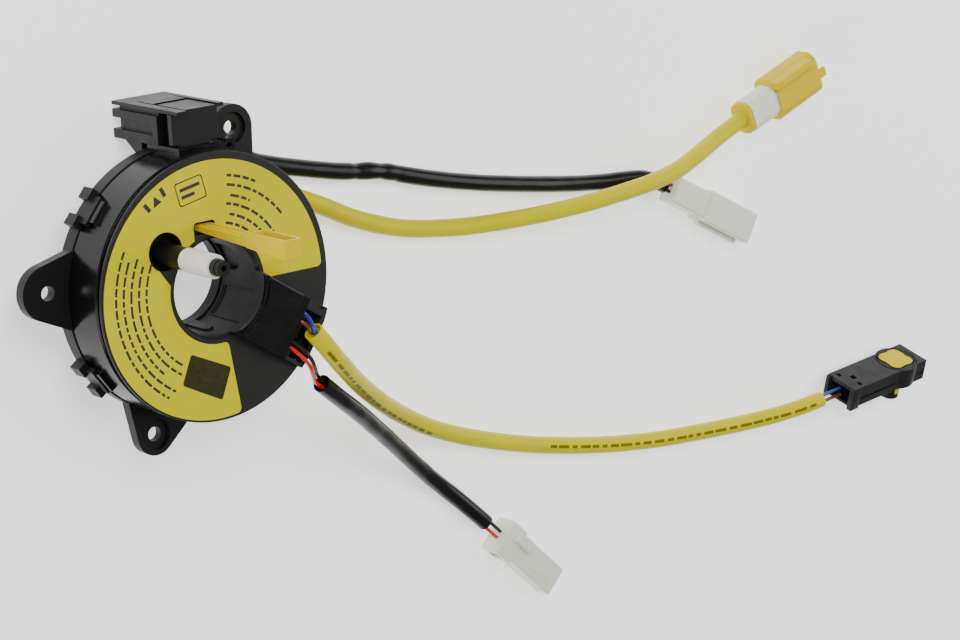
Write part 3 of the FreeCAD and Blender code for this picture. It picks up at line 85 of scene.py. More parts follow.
class Finish:
    """A surface finish built from shader nodes."""

    def __init__(self, name, color, roughness, specular=0.5):
        self.material = bpy.data.materials.new(name)
        self.material.use_nodes = True
        self.tree = self.material.node_tree
        self.tree.nodes.clear()
        self.output = self.tree.nodes.new("ShaderNodeOutputMaterial")
        self.shader = self.tree.nodes.new("ShaderNodeBsdfPrincipled")
        self.tree.links.new(self.shader.outputs[0], self.output.inputs[0])
        self.color = (*color, 1.0)
        self.roughness = roughness
        self.normal = None
        self.shader.inputs["Base Color"].default_value = self.color
        self.shader.inputs["Roughness"].default_value = roughness
        self.shader.inputs["Specular IOR Level"].default_value = specular
        self.place = self.tree.nodes.new("ShaderNodeTexCoord").outputs["Object"]

    def warm(self, amount):
        """A yellow plastic's own colour in its gloss, with a given strength."""
        self.shader.inputs["Specular Tint"].default_value = YELLOW_GLOSS
        self.shader.inputs["Specular IOR Level"].default_value = amount
        return self

    def set(self, name, value):
        self.shader.inputs[name].default_value = value
        return self

    def scatter(self, weight, radius):
        """Light that enters the plastic and comes out beside."""
        return self.set("Subsurface Weight", weight).set("Subsurface Radius", radius)

    def noise(self, scale, detail=3.0, roughness=0.55):
        node = self.tree.nodes.new("ShaderNodeTexNoise")
        node.inputs["Scale"].default_value = scale
        node.inputs["Detail"].default_value = detail
        node.inputs["Roughness"].default_value = roughness
        self.tree.links.new(self.place, node.inputs["Vector"])
        return node.outputs["Fac"]

    def ramp(self, value, low, high):
        node = self.tree.nodes.new("ShaderNodeMapRange")
        node.inputs["From Min"].default_value = NOISE_SPAN[0]
        node.inputs["From Max"].default_value = NOISE_SPAN[1]
        node.inputs["To Min"].default_value = low
        node.inputs["To Max"].default_value = high
        self.tree.links.new(value, node.inputs["Value"])
        return node.outputs["Result"]

    def vary_roughness(self, scale, spread):
        value = self.ramp(self.noise(scale), self.roughness - spread, self.roughness + spread)
        self.tree.links.new(value, self.shader.inputs["Roughness"])
        return self

    def vary_color(self, scale, other, detail=3.0):
        mix = self.tree.nodes.new("ShaderNodeMix")
        mix.data_type = "RGBA"
        mix.inputs[MIX_FIRST].default_value = self.color
        mix.inputs[MIX_SECOND].default_value = (*other, 1.0)
        self.tree.links.new(self.ramp(self.noise(scale, detail), 0.0, 1.0), mix.inputs[0])
        self.tree.links.new(mix.outputs[MIX_RESULT], self.shader.inputs["Base Color"])
        return self

    def inked(self, ink):
        """A darker colour on the faces that carry print."""
        mix = self.tree.nodes.new("ShaderNodeMix")
        mix.data_type = "RGBA"
        mark = self.tree.nodes.new("ShaderNodeAttribute")
        mark.attribute_name = INK
        base = self.shader.inputs["Base Color"]
        self.tree.links.new(mark.outputs["Fac"], mix.inputs[0])
        self.tree.links.new(base.links[0].from_socket, mix.inputs[MIX_FIRST])
        mix.inputs[MIX_SECOND].default_value = (*ink, 1.0)
        self.tree.links.new(mix.outputs[MIX_RESULT], base)
        return self

    def bevel(self, radius):
        node = self.tree.nodes.new("ShaderNodeBevel")
        node.samples = BEVEL_SAMPLES
        node.inputs["Radius"].default_value = radius
        self._stack(node)
        return self

    def bump(self, scale, distance, strength=0.5, detail=3.0):
        node = self.tree.nodes.new("ShaderNodeBump")
        node.inputs["Strength"].default_value = strength
        node.inputs["Distance"].default_value = distance
        self.tree.links.new(self.noise(scale, detail), node.inputs["Height"])
        self._stack(node)
        return self

    def _stack(self, node):
        if self.normal is not None:
            self.tree.links.new(self.normal, node.inputs["Normal"])
        self.normal = node.outputs["Normal"]
        self.tree.links.new(self.normal, self.shader.inputs["Normal"])


BLACK = Finish("satin_black", (0.008, 0.008, 0.008), 0.42, 0.20)
BLACK.bevel(EDGE).bump(2600.0, GRAIN, 0.35).vary_roughness(130.0, 0.06)
GLOSS = Finish("shiny_black", (0.004, 0.004, 0.004), 0.20, 0.22)
GLOSS.bevel(EDGE).bump(90.0, 0.00012, 0.12, 2.0).vary_roughness(160.0, 0.05)
DISC_BLACK = Finish("disc_black", (0.016, 0.016, 0.015), 0.44, 0.20)
DISC_BLACK.bevel(EDGE).bump(2200.0, GRAIN, 0.4).vary_roughness(120.0, 0.06)
LABEL = Finish("label_yellow", (0.60, 0.53, 0.0), 0.50).warm(0.08)
LABEL.bump(1800.0, FINE_GRAIN, 0.3).vary_roughness(70.0, 0.05).vary_color(24.0, (0.575, 0.51, 0.0))
PRINT = Finish("label_print", (0.015, 0.015, 0.012), 0.45).vary_roughness(300.0, 0.08)
PRINT_PATCH = Finish("label_patch", (0.018, 0.017, 0.004), 0.42, 0.2)
PRINT_PATCH.vary_color(500.0, (0.034, 0.032, 0.006))
TAB = Finish("tab_amber", (0.70, 0.51, 0.0), 0.30).warm(0.25)
TAB.scatter(0.15, (0.003, 0.0022, 0.0003))
TAB.bevel(SOFT_EDGE).bump(700.0, GRAIN, 0.25)
NYLON = Finish("sleeve_nylon", (0.80, 0.79, 0.75), 0.42)
NYLON.scatter(0.2, (0.002, 0.002, 0.0018))
NYLON.bevel(SMALL_EDGE).bump(1500.0, 0.00005, 0.5).vary_color(420.0, (0.70, 0.68, 0.62))
SHEATH_BLACK = Finish("sheath_black", (0.006, 0.006, 0.006), 0.26, 0.20)
SHEATH_BLACK.bump(420.0, 0.00008, 0.35).bump(3500.0, FINE_GRAIN, 0.3).vary_roughness(60.0, 0.08)
SHEATH_YELLOW = Finish("sheath_yellow", (0.60, 0.53, 0.0), 0.40).warm(0.22)
SHEATH_YELLOW.scatter(0.12, YELLOW_SCATTER)
SHEATH_YELLOW.bump(160.0, 0.0002, 0.2).vary_color(36.0, (0.58, 0.50, 0.0)).vary_roughness(90.0, 0.06)
SHEATH_YELLOW.inked((0.16, 0.135, 0.0))
WIRE_RED = Finish("wire_red", (0.60, 0.008, 0.006), 0.28).bump(600.0, GRAIN, 0.3)
WIRE_BLACK = Finish("wire_black", (0.010, 0.010, 0.010), 0.26).bump(600.0, GRAIN, 0.3)
WIRE_BLUE = Finish("wire_blue", (0.012, 0.035, 0.30), 0.28).bump(600.0, GRAIN, 0.3)
WIRE_BROWN = Finish("wire_brown", (0.17, 0.045, 0.012), 0.30).bump(600.0, GRAIN, 0.3)
PLUG_WHITE = Finish("plug_white", (0.80, 0.81, 0.70), 0.36)
PLUG_WHITE.scatter(0.45, (0.0035, 0.004, 0.0033))
PLUG_WHITE.bevel(SOFT_EDGE).bump(900.0, FINE_GRAIN, 0.25).vary_color(110.0, (0.75, 0.765, 0.64))
PLUG_CREAM = Finish("plug_cream", (0.80, 0.76, 0.60), 0.38)
PLUG_CREAM.scatter(0.3, (0.003, 0.003, 0.002))
PLUG_CREAM.bevel(SMALL_EDGE).vary_color(150.0, (0.75, 0.70, 0.52))
PLUG_YELLOW = Finish("plug_yellow", (0.64, 0.48, 0.0), 0.38).warm(0.16)
PLUG_YELLOW.scatter(0.15, YELLOW_SCATTER)
PLUG_YELLOW.bevel(SOFT_EDGE).bump(700.0, GRAIN, 0.2).vary_color(140.0, (0.64, 0.475, 0.0))
PLUG_BLACK = Finish("plug_black", (0.012, 0.012, 0.012), 0.46, 0.20)
PLUG_BLACK.bevel(EDGE).bump(2400.0, GRAIN, 0.4).vary_roughness(140.0, 0.07)
METAL = Finish("contact_metal", (0.70, 0.66, 0.55), 0.28).set("Metallic", 1.0).vary_roughness(900.0, 0.1)
FILM = Finish("cable_film", (0.70, 0.56, 0.34), 0.33).vary_color(200.0, (0.62, 0.47, 0.26))
SHEET = Finish("slide_sheet", (0.78, 0.78, 0.75), 0.40).vary_roughness(200.0, 0.08)
# Near-black painted shade, laid as thin pieces where grooves, gaps and sockets fall in shade
HOLLOW_SHADE = Finish("painted_hollow_shade", (0.002, 0.002, 0.002), 0.8, 0.02).vary_roughness(400.0, 0.1)

NODE_FINISH = {
    "outer_case": GLOSS, "rear_cover": BLACK, "connector_block": BLACK, "block_cap": BLACK,
    "block_lid": BLACK, "stator_terminals": BLACK, "flat_cable": FILM, "slide_sheet_rear": SHEET,
    "slide_sheet_front": SHEET, "rotor": DISC_BLACK, "lower_rotor": BLACK, "face_label": LABEL,
    "outlet_cover": GLOSS, "terminal_carrier": BLACK, "cable_tail": FILM, "drive_post": BLACK,
    "post_sleeve": NYLON, "lock_tab": TAB, "rear_plug_white": PLUG_WHITE, "rear_plug_pins": METAL,
    "rear_yellow_collar": PLUG_YELLOW, "rear_yellow_body": PLUG_WHITE, "rear_yellow_shell": PLUG_YELLOW,
    "front_plug_white": PLUG_WHITE, "airbag_body": PLUG_BLACK, "airbag_cover": PLUG_BLACK,
    "airbag_lock": PLUG_YELLOW, "rear_wire_red": WIRE_RED, "rear_wire_black": WIRE_BLACK,
    "outlet_terminal_1": METAL, "outlet_terminal_2": METAL, "outlet_terminal_3": METAL,
    "outlet_terminal_4": METAL,
}
for node_name, finish in NODE_FINISH.items():
    node_mesh = NODES[node_name].data
    node_mesh.materials.clear()
    node_mesh.materials.append(finish.material)
    node_mesh.shade_smooth()
    node_mesh.set_sharp_from_angle(angle=SHARP_ANGLE)


# Mesh helpers


def new_piece(name, mesh, finish):
    """An object for a mesh, with its finish."""
    piece = bpy.data.objects.new(name, mesh)
    bpy.context.scene.collection.objects.link(piece)
    mesh.materials.clear()
    mesh.materials.append(finish.material)
    mesh.shade_smooth()
    mesh.set_sharp_from_angle(angle=SHARP_ANGLE)
    return piece


def joined(shapes):
    """One mesh from several lists of corners and faces, given in millimetres."""
    mesh = bpy.data.meshes.new("shape")
    corners = []
    faces = []
    for points, polygons in shapes:
        base = len(corners)
        corners.extend(Vector(point) * MM for point in points)
        faces.extend([base + index for index in polygon] for polygon in polygons)
    mesh.from_pydata([tuple(corner) for corner in corners], [], faces)
    mesh.update()
    turner = bmesh.new()
    turner.from_mesh(mesh)
    bmesh.ops.recalc_face_normals(turner, faces=turner.faces)
    turner.to_mesh(mesh)
    turner.free()
    return mesh


def slab(outline, low, high):
    """A flat plate between two heights, from an outline in X and Y."""
    count = len(outline)
    points = [(x, y, low) for x, y in outline] + [(x, y, high) for x, y in outline]
    faces = [list(range(count)), list(range(count, 2 * count))]
    for index in range(count):
        after = (index + 1) % count
        faces.append([index, after, count + after, count + index])
    return points, faces


def brick(x, y, z, soft=0.0):
    """A block between three pairs of places, with its edges rounded when soft is given."""
    if soft <= 0.0:
        return slab([(x[0], y[0]), (x[1], y[0]), (x[1], y[1]), (x[0], y[1])], z[0], z[1])
    maker = bmesh.new()
    bmesh.ops.create_cube(maker, size=1.0)
    middle = Vector(((x[0] + x[1]) / 2, (y[0] + y[1]) / 2, (z[0] + z[1]) / 2))
    for vertex in maker.verts:
        vertex.co = Vector((vertex.co.x * (x[1] - x[0]), vertex.co.y * (y[1] - y[0]),
                            vertex.co.z * (z[1] - z[0]))) + middle
    bmesh.ops.bevel(maker, geom=maker.edges[:], offset=soft, segments=2, profile=0.5, affect="EDGES")
    maker.verts.index_update()
    points = [tuple(vertex.co) for vertex in maker.verts]
    faces = [[vertex.index for vertex in face.verts] for face in maker.faces]
    maker.free()
    return points, faces


def slab_strip(outline, low, high):
    """A plate whose outline runs out along one edge and back along the other."""
    half = len(outline) // 2
    points = [(x, y, low) for x, y in outline] + [(x, y, high) for x, y in outline]
    count = len(outline)
    faces = []
    for index in range(half - 1):
        back = count - 1 - index
        faces.append([index, index + 1, back - 1, back])
        faces.append([count + index, count + index + 1, count + back - 1, count + back])
    for index in range(count):
        after = (index + 1) % count
        faces.append([index, after, count + after, count + index])
    return points, faces


def ring_band(inner, outer, start, end, low, high, steps=48):
    """A plate along an arc round the rotor's axis."""
    angles = [start + (end - start) * index / steps for index in range(steps + 1)]
    outline = [polar(outer, angle)[:2] for angle in angles]
    outline += [polar(inner, angle)[:2] for angle in reversed(angles)]
    return slab_strip(outline, low, high)


def pipe(centre, direction, radius, length, steps=24):
    """A round bar from a place along a direction."""
    side = direction.orthogonal().normalized()
    up = direction.cross(side).normalized()
    points = []
    for share in (0, 1):
        for index in range(steps):
            angle = 2 * math.pi * index / steps
            points.append(centre + direction * (length * share)
                          + side * (radius * math.cos(angle)) + up * (radius * math.sin(angle)))
    faces = [list(range(steps)), list(range(steps, 2 * steps))]
    for index in range(steps):
        after = (index + 1) % steps
        faces.append([index, after, steps + after, steps + index])
    return points, faces


def moved(shape, matrix):
    """A shape carried by a matrix in millimetres."""
    points, faces = shape
    return [matrix @ Vector(point) for point in points], faces


# Sheaths and wires

CURVE_STEPS = 14
CURVE_ORDER = 3
LEAST_STEP = 0.2
SAME_PLACE = 1e-4
LINE_STEP = 1.0
WIRE_STEP = 0.5
SHEATH_SIDES = 32
SHEATH_WALL = 0.7
SHEATH_MOUTH = 2.0
WIRE_SIDES = 18
WIRE_END_SIDES = 20
WIRE_IN_SHEATH = 1.5
WIRE_IN_PLUG = 0.2
WALL_SPREAD = 0.8


def spline_line(points):
    """The smooth line through a cord's route, read from a curve with the same points."""
    curve = bpy.data.curves.new("route", "CURVE")
    curve.dimensions = "3D"
    curve.resolution_u = CURVE_STEPS
    spline = curve.splines.new("NURBS")
    spline.points.add(len(points) - 1)
    for place, point in zip(spline.points, points):
        place.co = (*[value * MM for value in point], 1.0)
    spline.order_u = CURVE_ORDER
    spline.use_endpoint_u = True
    carrier = bpy.data.objects.new("route", curve)
    bpy.context.scene.collection.objects.link(carrier)
    bpy.context.view_layer.update()
    mesh = bpy.data.meshes.new_from_object(carrier)
    line = [vertex.co / MM for vertex in mesh.vertices]
    bpy.data.objects.remove(carrier)
    bpy.data.meshes.remove(mesh)
    clean = [line[0]]
    for point in line[1:]:
        if (point - clean[-1]).length > LEAST_STEP:
            clean.append(point)
    if (clean[-1] - Vector(points[-1])).length > SAME_PLACE:
        clean.append(Vector(points[-1]))
    return clean


def evenly(line, step):
    """The same line with its points a step apart."""
    lengths = [0.0]
    for before, after in zip(line, line[1:]):
        lengths.append(lengths[-1] + (after - before).length)
    count = max(2, int(round(lengths[-1] / step)))
    result = []
    index = 0
    for number in range(count + 1):
        target = lengths[-1] * number / count
        while index < len(lengths) - 2 and lengths[index + 1] < target:
            index += 1
        span = lengths[index + 1] - lengths[index]
        share = (target - lengths[index]) / span if span > 0 else 0.0
        result.append(line[index].lerp(line[index + 1], share))
    return result


def frames(line):
    """For each point of a line, two sideways directions that don't twist."""
    result = []
    side = None
    for index, point in enumerate(line):
        before = line[max(index - 1, 0)]
        after = line[min(index + 1, len(line) - 1)]
        ahead = (after - before).normalized()
        if side is None:
            side = ahead.cross(Vector((0, 0, 1))).normalized()
        side = (side - ahead * side.dot(ahead)).normalized()
        result.append((point, side, ahead.cross(side)))
    return result


def tube_shape(line, radius, around, wall=0.0, depth=0.0, shaping=None):
    """A tube along a line. With a wall given, its ends are open to a depth."""
    rings = []
    places = frames(line)
    count = len(places)
    run = [0.0]
    for before, after in zip(line, line[1:]):
        run.append(run[-1] + (after - before).length)
    sections = []
    if wall > 0:
        sections.append((depth, radius - wall, False))
        sections.append((0.0, radius - wall, False))
    for value in run:
        sections.append((value, radius, True))
    if wall > 0:
        sections.append((run[-1], radius - wall, False))
        sections.append((run[-1] - depth, radius - wall, False))
    for value, size, outer in sections:
        index = min(range(count), key=lambda number: abs(run[number] - value))
        point, side, up = places[index]
        corners = []
        for number in range(around):
            angle = 2 * math.pi * number / around
            reach = size
            if outer and shaping is not None:
                reach += shaping(value, angle)
            corners.append(point + side * (reach * math.cos(angle)) + up * (reach * math.sin(angle)))
        rings.append(corners)
    points = [corner for corners in rings for corner in corners]
    faces = []
    for number in range(len(rings) - 1):
        for index in range(around):
            after = (index + 1) % around
            low = number * around
            high = low + around
            faces.append([low + index, low + after, high + after, high + index])
    faces.append(list(range(around)))
    faces.append([(len(rings) - 1) * around + index for index in range(around)])
    return points, faces


def soft_wall(amount, scale, seed):
    """Slight unevenness of a soft sheath's wall."""
    def shape(value, angle):
        across = math.cos(angle) * WALL_SPREAD + seed
        return amount * noise.noise(Vector((value / scale, across, math.sin(angle) * WALL_SPREAD)))
    return shape


FRONT_YELLOW_ROUTE = [
    (36.4, -22.7, 32.8), (42.1, -29.6, 32.6), (51.5, -39.0, 28.0), (66.9, -51.5, 17.0),
    (84.4, -64.5, 5.5), (106.0, -78.7, -6.0), (130.5, -92.7, -14.5), (161.5, -105.2, -17.1),
    (199.7, -116.5, -17.1), (248.3, -126.4, -17.1), (296.0, -131.0, -17.1), (323.5, -132.2, -15.2),
    (344.17, -130.78, -10.3), (358.14, -129.73, -10.3),
]
FRONT_BLACK_ROUTE = [
    (47.0, -47.3, 21.5), (57.5, -56.0, 18.5), (74.1, -68.3, 10.0), (95.2, -85.0, -1.5),
    (114.3, -101.2, -11.0), (130.7, -115.5, -16.5), (141.2, -124.6, -17.3), (149.08, -132.85, -15.4),
    (155.39, -139.27, -15.4),
]
REAR_YELLOW_ROUTE = [
    (10.2, 54.6, -6.5), (18.5, 52.8, -7.2), (25.5, 46.5, -8.6), (31.5, 38.5, -10.4),
    (38.5, 31.0, -12.6), (47.0, 25.5, -14.4), (60.5, 19.8, -15.2), (81.5, 10.2, -15.5),
    (96.6, 2.3, -16.8), (119.5, -5.8, -17.1), (144.0, -10.0, -17.1), (166.0, -11.6, -15.2),
    (190.0, -10.8, -8.2), (216.0, -8.8, -2.7), (256.0, -5.8, -2.7), (281.0, -1.2, -9.6),
    (300.70, 4.93, -13.8), (313.9, 9.6, -13.8),
]
REAR_BLACK_ROUTE = [
    (10.2, 58.4, -13.8), (20.0, 57.0, -14.6), (29.5, 50.5, -16.3), (37.5, 42.0, -17.3),
    (46.0, 34.9, -17.3), (56.0, 31.2, -17.3), (73.0, 26.8, -17.3), (93.6, 21.9, -17.3),
    (111.2, 19.8, -17.3), (128.0, 14.3, -17.3), (157.5, 6.7, -17.3), (195.7, -0.5, -17.3),
    (226.0, -5.0, -17.3), (243.5, -6.0, -16.0), (256.90, -7.26, -15.2), (266.04, -12.43, -15.2),
]
RED_FRONT_ROUTE = [
    (26.11, -25.93, 27.0), (29.47, -28.19, 27.1), (34.98, -34.69, 30.3), (38.6, -39.9, 27.6),
    (43.29, -45.65, 22.36), (46.26, -48.11, 21.51),
]
BLACK_FRONT_ROUTE = [
    (27.45, -23.94, 27.0), (30.81, -26.20, 27.1), (36.21, -32.86, 30.3), (39.9, -38.1, 27.6),
    (44.69, -43.96, 22.36), (47.66, -46.42, 21.51),
]
BLUE_FRONT_ROUTE = [
    (33.94, -14.32, 27.0), (36.3, -15.9, 27.2), (37.2, -19.0, 30.6), (35.9, -22.1, 33.8),
]
BROWN_FRONT_ROUTE = [
    (31.98, -17.22, 27.0), (34.34, -18.82, 27.2), (35.9, -20.6, 29.4), (35.9, -22.1, 31.7),
]


def led_inside(route, line_start):
    """A bare wire's route, led on into the mouth of its sheath."""
    ahead = (Vector(line_start[1]) - Vector(line_start[0])).normalized()
    return [tuple(point) for point in route] + [tuple(Vector(route[-1]) + ahead * SHEATH_MOUTH)]


def connector_place(entry, heading, roll):
    """Where a connector lies, from its wires' entry and two angles in degrees."""
    turn = Matrix.Rotation(math.radians(heading), 4, "Z") @ Matrix.Rotation(math.radians(roll), 4, "X")
    return Matrix.Translation(Vector(entry)) @ turn


REAR_PLUG_HALF_HEIGHT = 5.6
FRONT_PLUG_HALF_HEIGHT = 5.4
REAR_PLUG = connector_place((269.7, -14.5, FLOOR_Z + REAR_PLUG_HALF_HEIGHT), -29.5, 0.0)
FRONT_PLUG = connector_place((162.4, -146.4, FLOOR_Z + FRONT_PLUG_HALF_HEIGHT), -45.5, 0.0)
AIRBAG = connector_place((371.9, -128.7, -10.3), 4.3, -72.0)


def wire_end(place, line, side):
    """The bare end of a wire, from inside its sheath to its plug."""
    ahead = (place.to_3x3() @ Vector((1.0, 0.0, 0.0))).normalized()
    aside = Vector((-ahead.y, ahead.x, 0.0)).normalized()
    target = Vector(place.translation) + aside * (side * WIRE_SPACING)
    gap = (Vector(place.translation) - line[-1]).length
    length = gap + WIRE_IN_SHEATH + WIRE_IN_PLUG
    return pipe(target - ahead * (gap + WIRE_IN_SHEATH), ahead, WIRE_DIAMETER / 2, length, WIRE_END_SIDES)


front_yellow_line = evenly(spline_line(FRONT_YELLOW_ROUTE), LINE_STEP)
front_black_line = evenly(spline_line(FRONT_BLACK_ROUTE), LINE_STEP)
rear_yellow_line = evenly(spline_line(REAR_YELLOW_ROUTE), LINE_STEP)
rear_black_line = evenly(spline_line(REAR_BLACK_ROUTE), LINE_STEP)

# Creases where the rear black sheath was folded: distance along it, depth and width
CREASES = ((98.0, 0.42, 2.2), (104.5, -0.22, 2.6), (111.0, 0.38, 2.4), (119.0, 0.2, 2.0))
CREASE_EVEN = 0.75
CREASE_UNEVEN = 0.25
black_wall = soft_wall(0.10, 9.0, 3.0)


def creased_wall(value, angle):
    """Slight unevenness, with the creases of a folded sheath."""
    reach = black_wall(value, angle)
    for middle, depth, width in CREASES:
        share = (value - middle) / width
        side = CREASE_EVEN + CREASE_UNEVEN * math.cos(angle - middle)
        reach -= depth * math.exp(-share * share) * side
    return reach


def sheath(name, line, radius, finish, node, shaping):
    """A sheath along a line, in place of its plain solid."""
    shape = tube_shape(line, radius, SHEATH_SIDES, SHEATH_WALL, SHEATH_MOUTH, shaping)
    piece = new_piece(name, joined([shape]), finish)
    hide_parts(node)
    return piece


front_yellow = sheath("sleeve_front_yellow", front_yellow_line, YELLOW_DIAMETER / 2, SHEATH_YELLOW,
                      "front_sleeve_yellow", soft_wall(0.12, 12.0, 1.0))
front_black = sheath("sleeve_front_black", front_black_line, BLACK_DIAMETER / 2, SHEATH_BLACK,
                     "front_sleeve_black", soft_wall(0.16, 10.0, 2.0))
rear_yellow = sheath("sleeve_rear_yellow", rear_yellow_line, YELLOW_DIAMETER / 2, SHEATH_YELLOW,
                     "rear_sleeve_yellow", soft_wall(0.12, 12.0, 4.0))
rear_black = sheath("sleeve_rear_black", rear_black_line, BLACK_DIAMETER / 2, SHEATH_BLACK,
                    "rear_sleeve_black", creased_wall)
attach(rear_yellow, "housing")
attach(rear_black, "housing")

# Print on the front yellow sheath, in faces along and round it
PRINTED_SPANS = ((9, 122), (193, 355))
PRINTED_SIDE = (-0.62, 0.25, 0.74)
INK_WIDTH = 2
DASH = (3, 7)
DASH_GAP = (1, 2)
MOUTH_RINGS = 2
DASH_SEED = 5


def print_dashes(piece, line):
    """Short dark bars along a sheath, where a line of words runs on its upper side."""
    chooser = random.Random(DASH_SEED)
    facing = Vector(PRINTED_SIDE)
    places = frames(line)
    ink = [0.0] * len(piece.data.polygons)
    for first, last in PRINTED_SPANS:
        _, side, up = places[(first + last) // 2]
        angle = math.atan2(facing.dot(up), facing.dot(side))
        centre = int(round(angle / (2 * math.pi) * SHEATH_SIDES)) % SHEATH_SIDES
        row = first
        while row < last:
            size = chooser.randint(*DASH)
            for step in range(row, min(row + size, last)):
                ring = (step + MOUTH_RINGS) * SHEATH_SIDES
                for shift in range(INK_WIDTH):
                    ink[ring + (centre + shift) % SHEATH_SIDES] = 1.0
            row += size + chooser.randint(*DASH_GAP)
    marks = piece.data.attributes.new(INK, "FLOAT", "FACE")
    marks.data.foreach_set("value", ink)


print_dashes(front_yellow, front_yellow_line)


def wire_piece(name, route, place, line, side, finish, node):
    """Both bare ends of a front wire as one piece."""
    path = led_inside(route, line[:2])
    root = tube_shape(evenly(spline_line(path), WIRE_STEP), WIRE_DIAMETER / 2, WIRE_SIDES)
    piece = new_piece(name, joined([root, wire_end(place, line, side)]), finish)
    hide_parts(node)
    return piece


wire_red = wire_piece("wire_front_red", RED_FRONT_ROUTE, FRONT_PLUG, front_black_line, -1.0,
                      WIRE_RED, "front_wire_red")
wire_black = wire_piece("wire_front_black", BLACK_FRONT_ROUTE, FRONT_PLUG, front_black_line, 1.0,
                        WIRE_BLACK, "front_wire_black")
wire_blue = wire_piece("wire_front_blue", BLUE_FRONT_ROUTE, AIRBAG, front_yellow_line, 1.0,
                       WIRE_BLUE, "front_wire_blue")
wire_brown = wire_piece("wire_front_brown", BROWN_FRONT_ROUTE, AIRBAG, front_yellow_line, -1.0,
                        WIRE_BROWN, "front_wire_brown")
rear_red = new_piece("wire_rear_red", joined([wire_end(REAR_PLUG, rear_black_line, 1.0)]), WIRE_RED)
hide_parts("rear_wire_red")
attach(rear_red, "housing")
rear_wire = new_piece("wire_rear_black", joined([wire_end(REAR_PLUG, rear_black_line, -1.0)]), WIRE_BLACK)
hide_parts("rear_wire_black")
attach(rear_wire, "housing")

# The front leads' stretch that bends when the rotor turns, with each piece's place baked into its mesh
for bending in (front_yellow, front_black, wire_red, wire_black, wire_blue, wire_brown):
    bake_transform(bending)


# Label print. Words are left out, and short bars stand where lines of text run.

PRINT_LOW = LABEL_TOP_Z - 0.02
PRINT_HIGH = LABEL_TOP_Z + 0.03
INDEX_BAR_ANGLES = (128.9, 118.0)
INDEX_BAR_REACH = (42.3, 46.0)
INDEX_BAR_WIDTH = 1.6
INDEX_POINTER = ((45.4, 122.9), (42.0, 126.4), (41.6, 120.9))
FRAME_CORNERS = [Vector((-15.6, 40.7)), Vector((-4.0, 42.8)), Vector((-2.0, 34.5)), Vector((-13.6, 32.3))]
FRAME_ROUNDING = 1.1
FRAME_STROKE = 0.45
FRAME_BARS = ((0.12, 0.88, 0.66), (0.12, 0.62, 0.34))
FRAME_BAR_WIDTH = 1.3
PATCH_CORNERS = [(-13.8, -22.2), (3.3, -30.6), (-1.6, -42.1), (-18.5, -33.0)]
PATCH_ROUNDING = 1.2
CORNER_STEPS = 5
STROKE_OVERLAP = 0.3
# Lines of text: radius, first and last angle
LEFT_LINES = (
    (43.8, 152.0, 236.0), (40.6, 156.0, 238.0), (37.4, 153.0, 226.0), (34.2, 156.0, 239.0),
    (31.0, 153.0, 235.0),
)
LEFT_HEIGHT = 0.95
RIGHT_LINES = (
    (41.2, 79.9, 59.6), (37.8, 79.4, 36.3), (34.0, 75.9, 60.6), (30.9, 78.5, 31.3),
    (27.2, 74.4, 33.8), (23.9, 77.0, 42.2),
)
RIGHT_HEIGHT = 1.05
WORD_LENGTH = (1.6, 4.6)
WORD_GAP = 0.9
DEGREES_IN_RADIAN = 57.3
LEAST_ANGLE = 1.0
LABEL_SEED = 11

label_marks = []


def bar_between(first, last, width, into):
    """A straight printed stroke between two places of the face."""
    first = Vector(first)
    last = Vector(last)
    ahead = (last - first).normalized()
    side = Vector((-ahead.y, ahead.x)) * (width / 2)
    outline = [first - side, last - side, last + side, first + side]
    into.append(slab([tuple(corner) for corner in outline], PRINT_LOW, PRINT_HIGH))


def softened(outline, radius):
    """An outline of straight edges with each corner rounded off."""
    result = []
    count = len(outline)
    for index in range(count):
        corner = Vector(outline[index])
        before = (Vector(outline[index - 1]) - corner).normalized() * radius
        after = (Vector(outline[(index + 1) % count]) - corner).normalized() * radius
        for step in range(CORNER_STEPS + 1):
            share = step / CORNER_STEPS
            result.append(corner + before * (1 - share) ** 2 + after * share ** 2)
    return result


def stroke_round(outline, width, into):
    """A printed stroke of even width along a closed outline."""
    count = len(outline)
    for index in range(count):
        first = Vector(outline[index])
        last = Vector(outline[(index + 1) % count])
        reach = (last - first).normalized() * (width * STROKE_OVERLAP)
        bar_between(first - reach, last + reach, width, into)


def in_frame(across, up):
    """A place in the printed frame, from shares of its width and height."""
    low = FRAME_CORNERS[3].lerp(FRAME_CORNERS[2], across)
    high = FRAME_CORNERS[0].lerp(FRAME_CORNERS[1], across)
    return low.lerp(high, up)


def text_arc(radius, start, end, height):
    """Short printed bars along an arc, where a line of words runs."""
    angle = start
    step = 1.0 if end > start else -1.0
    while (end - angle) * step > LEAST_ANGLE:
        size = random.uniform(*WORD_LENGTH) / radius * DEGREES_IN_RADIAN
        last = angle + step * min(size, abs(end - angle))
        label_marks.append(ring_band(radius - height / 2, radius + height / 2, angle, last,
                                     PRINT_LOW, PRINT_HIGH, 4))
        angle = last + step * (WORD_GAP / radius * DEGREES_IN_RADIAN)


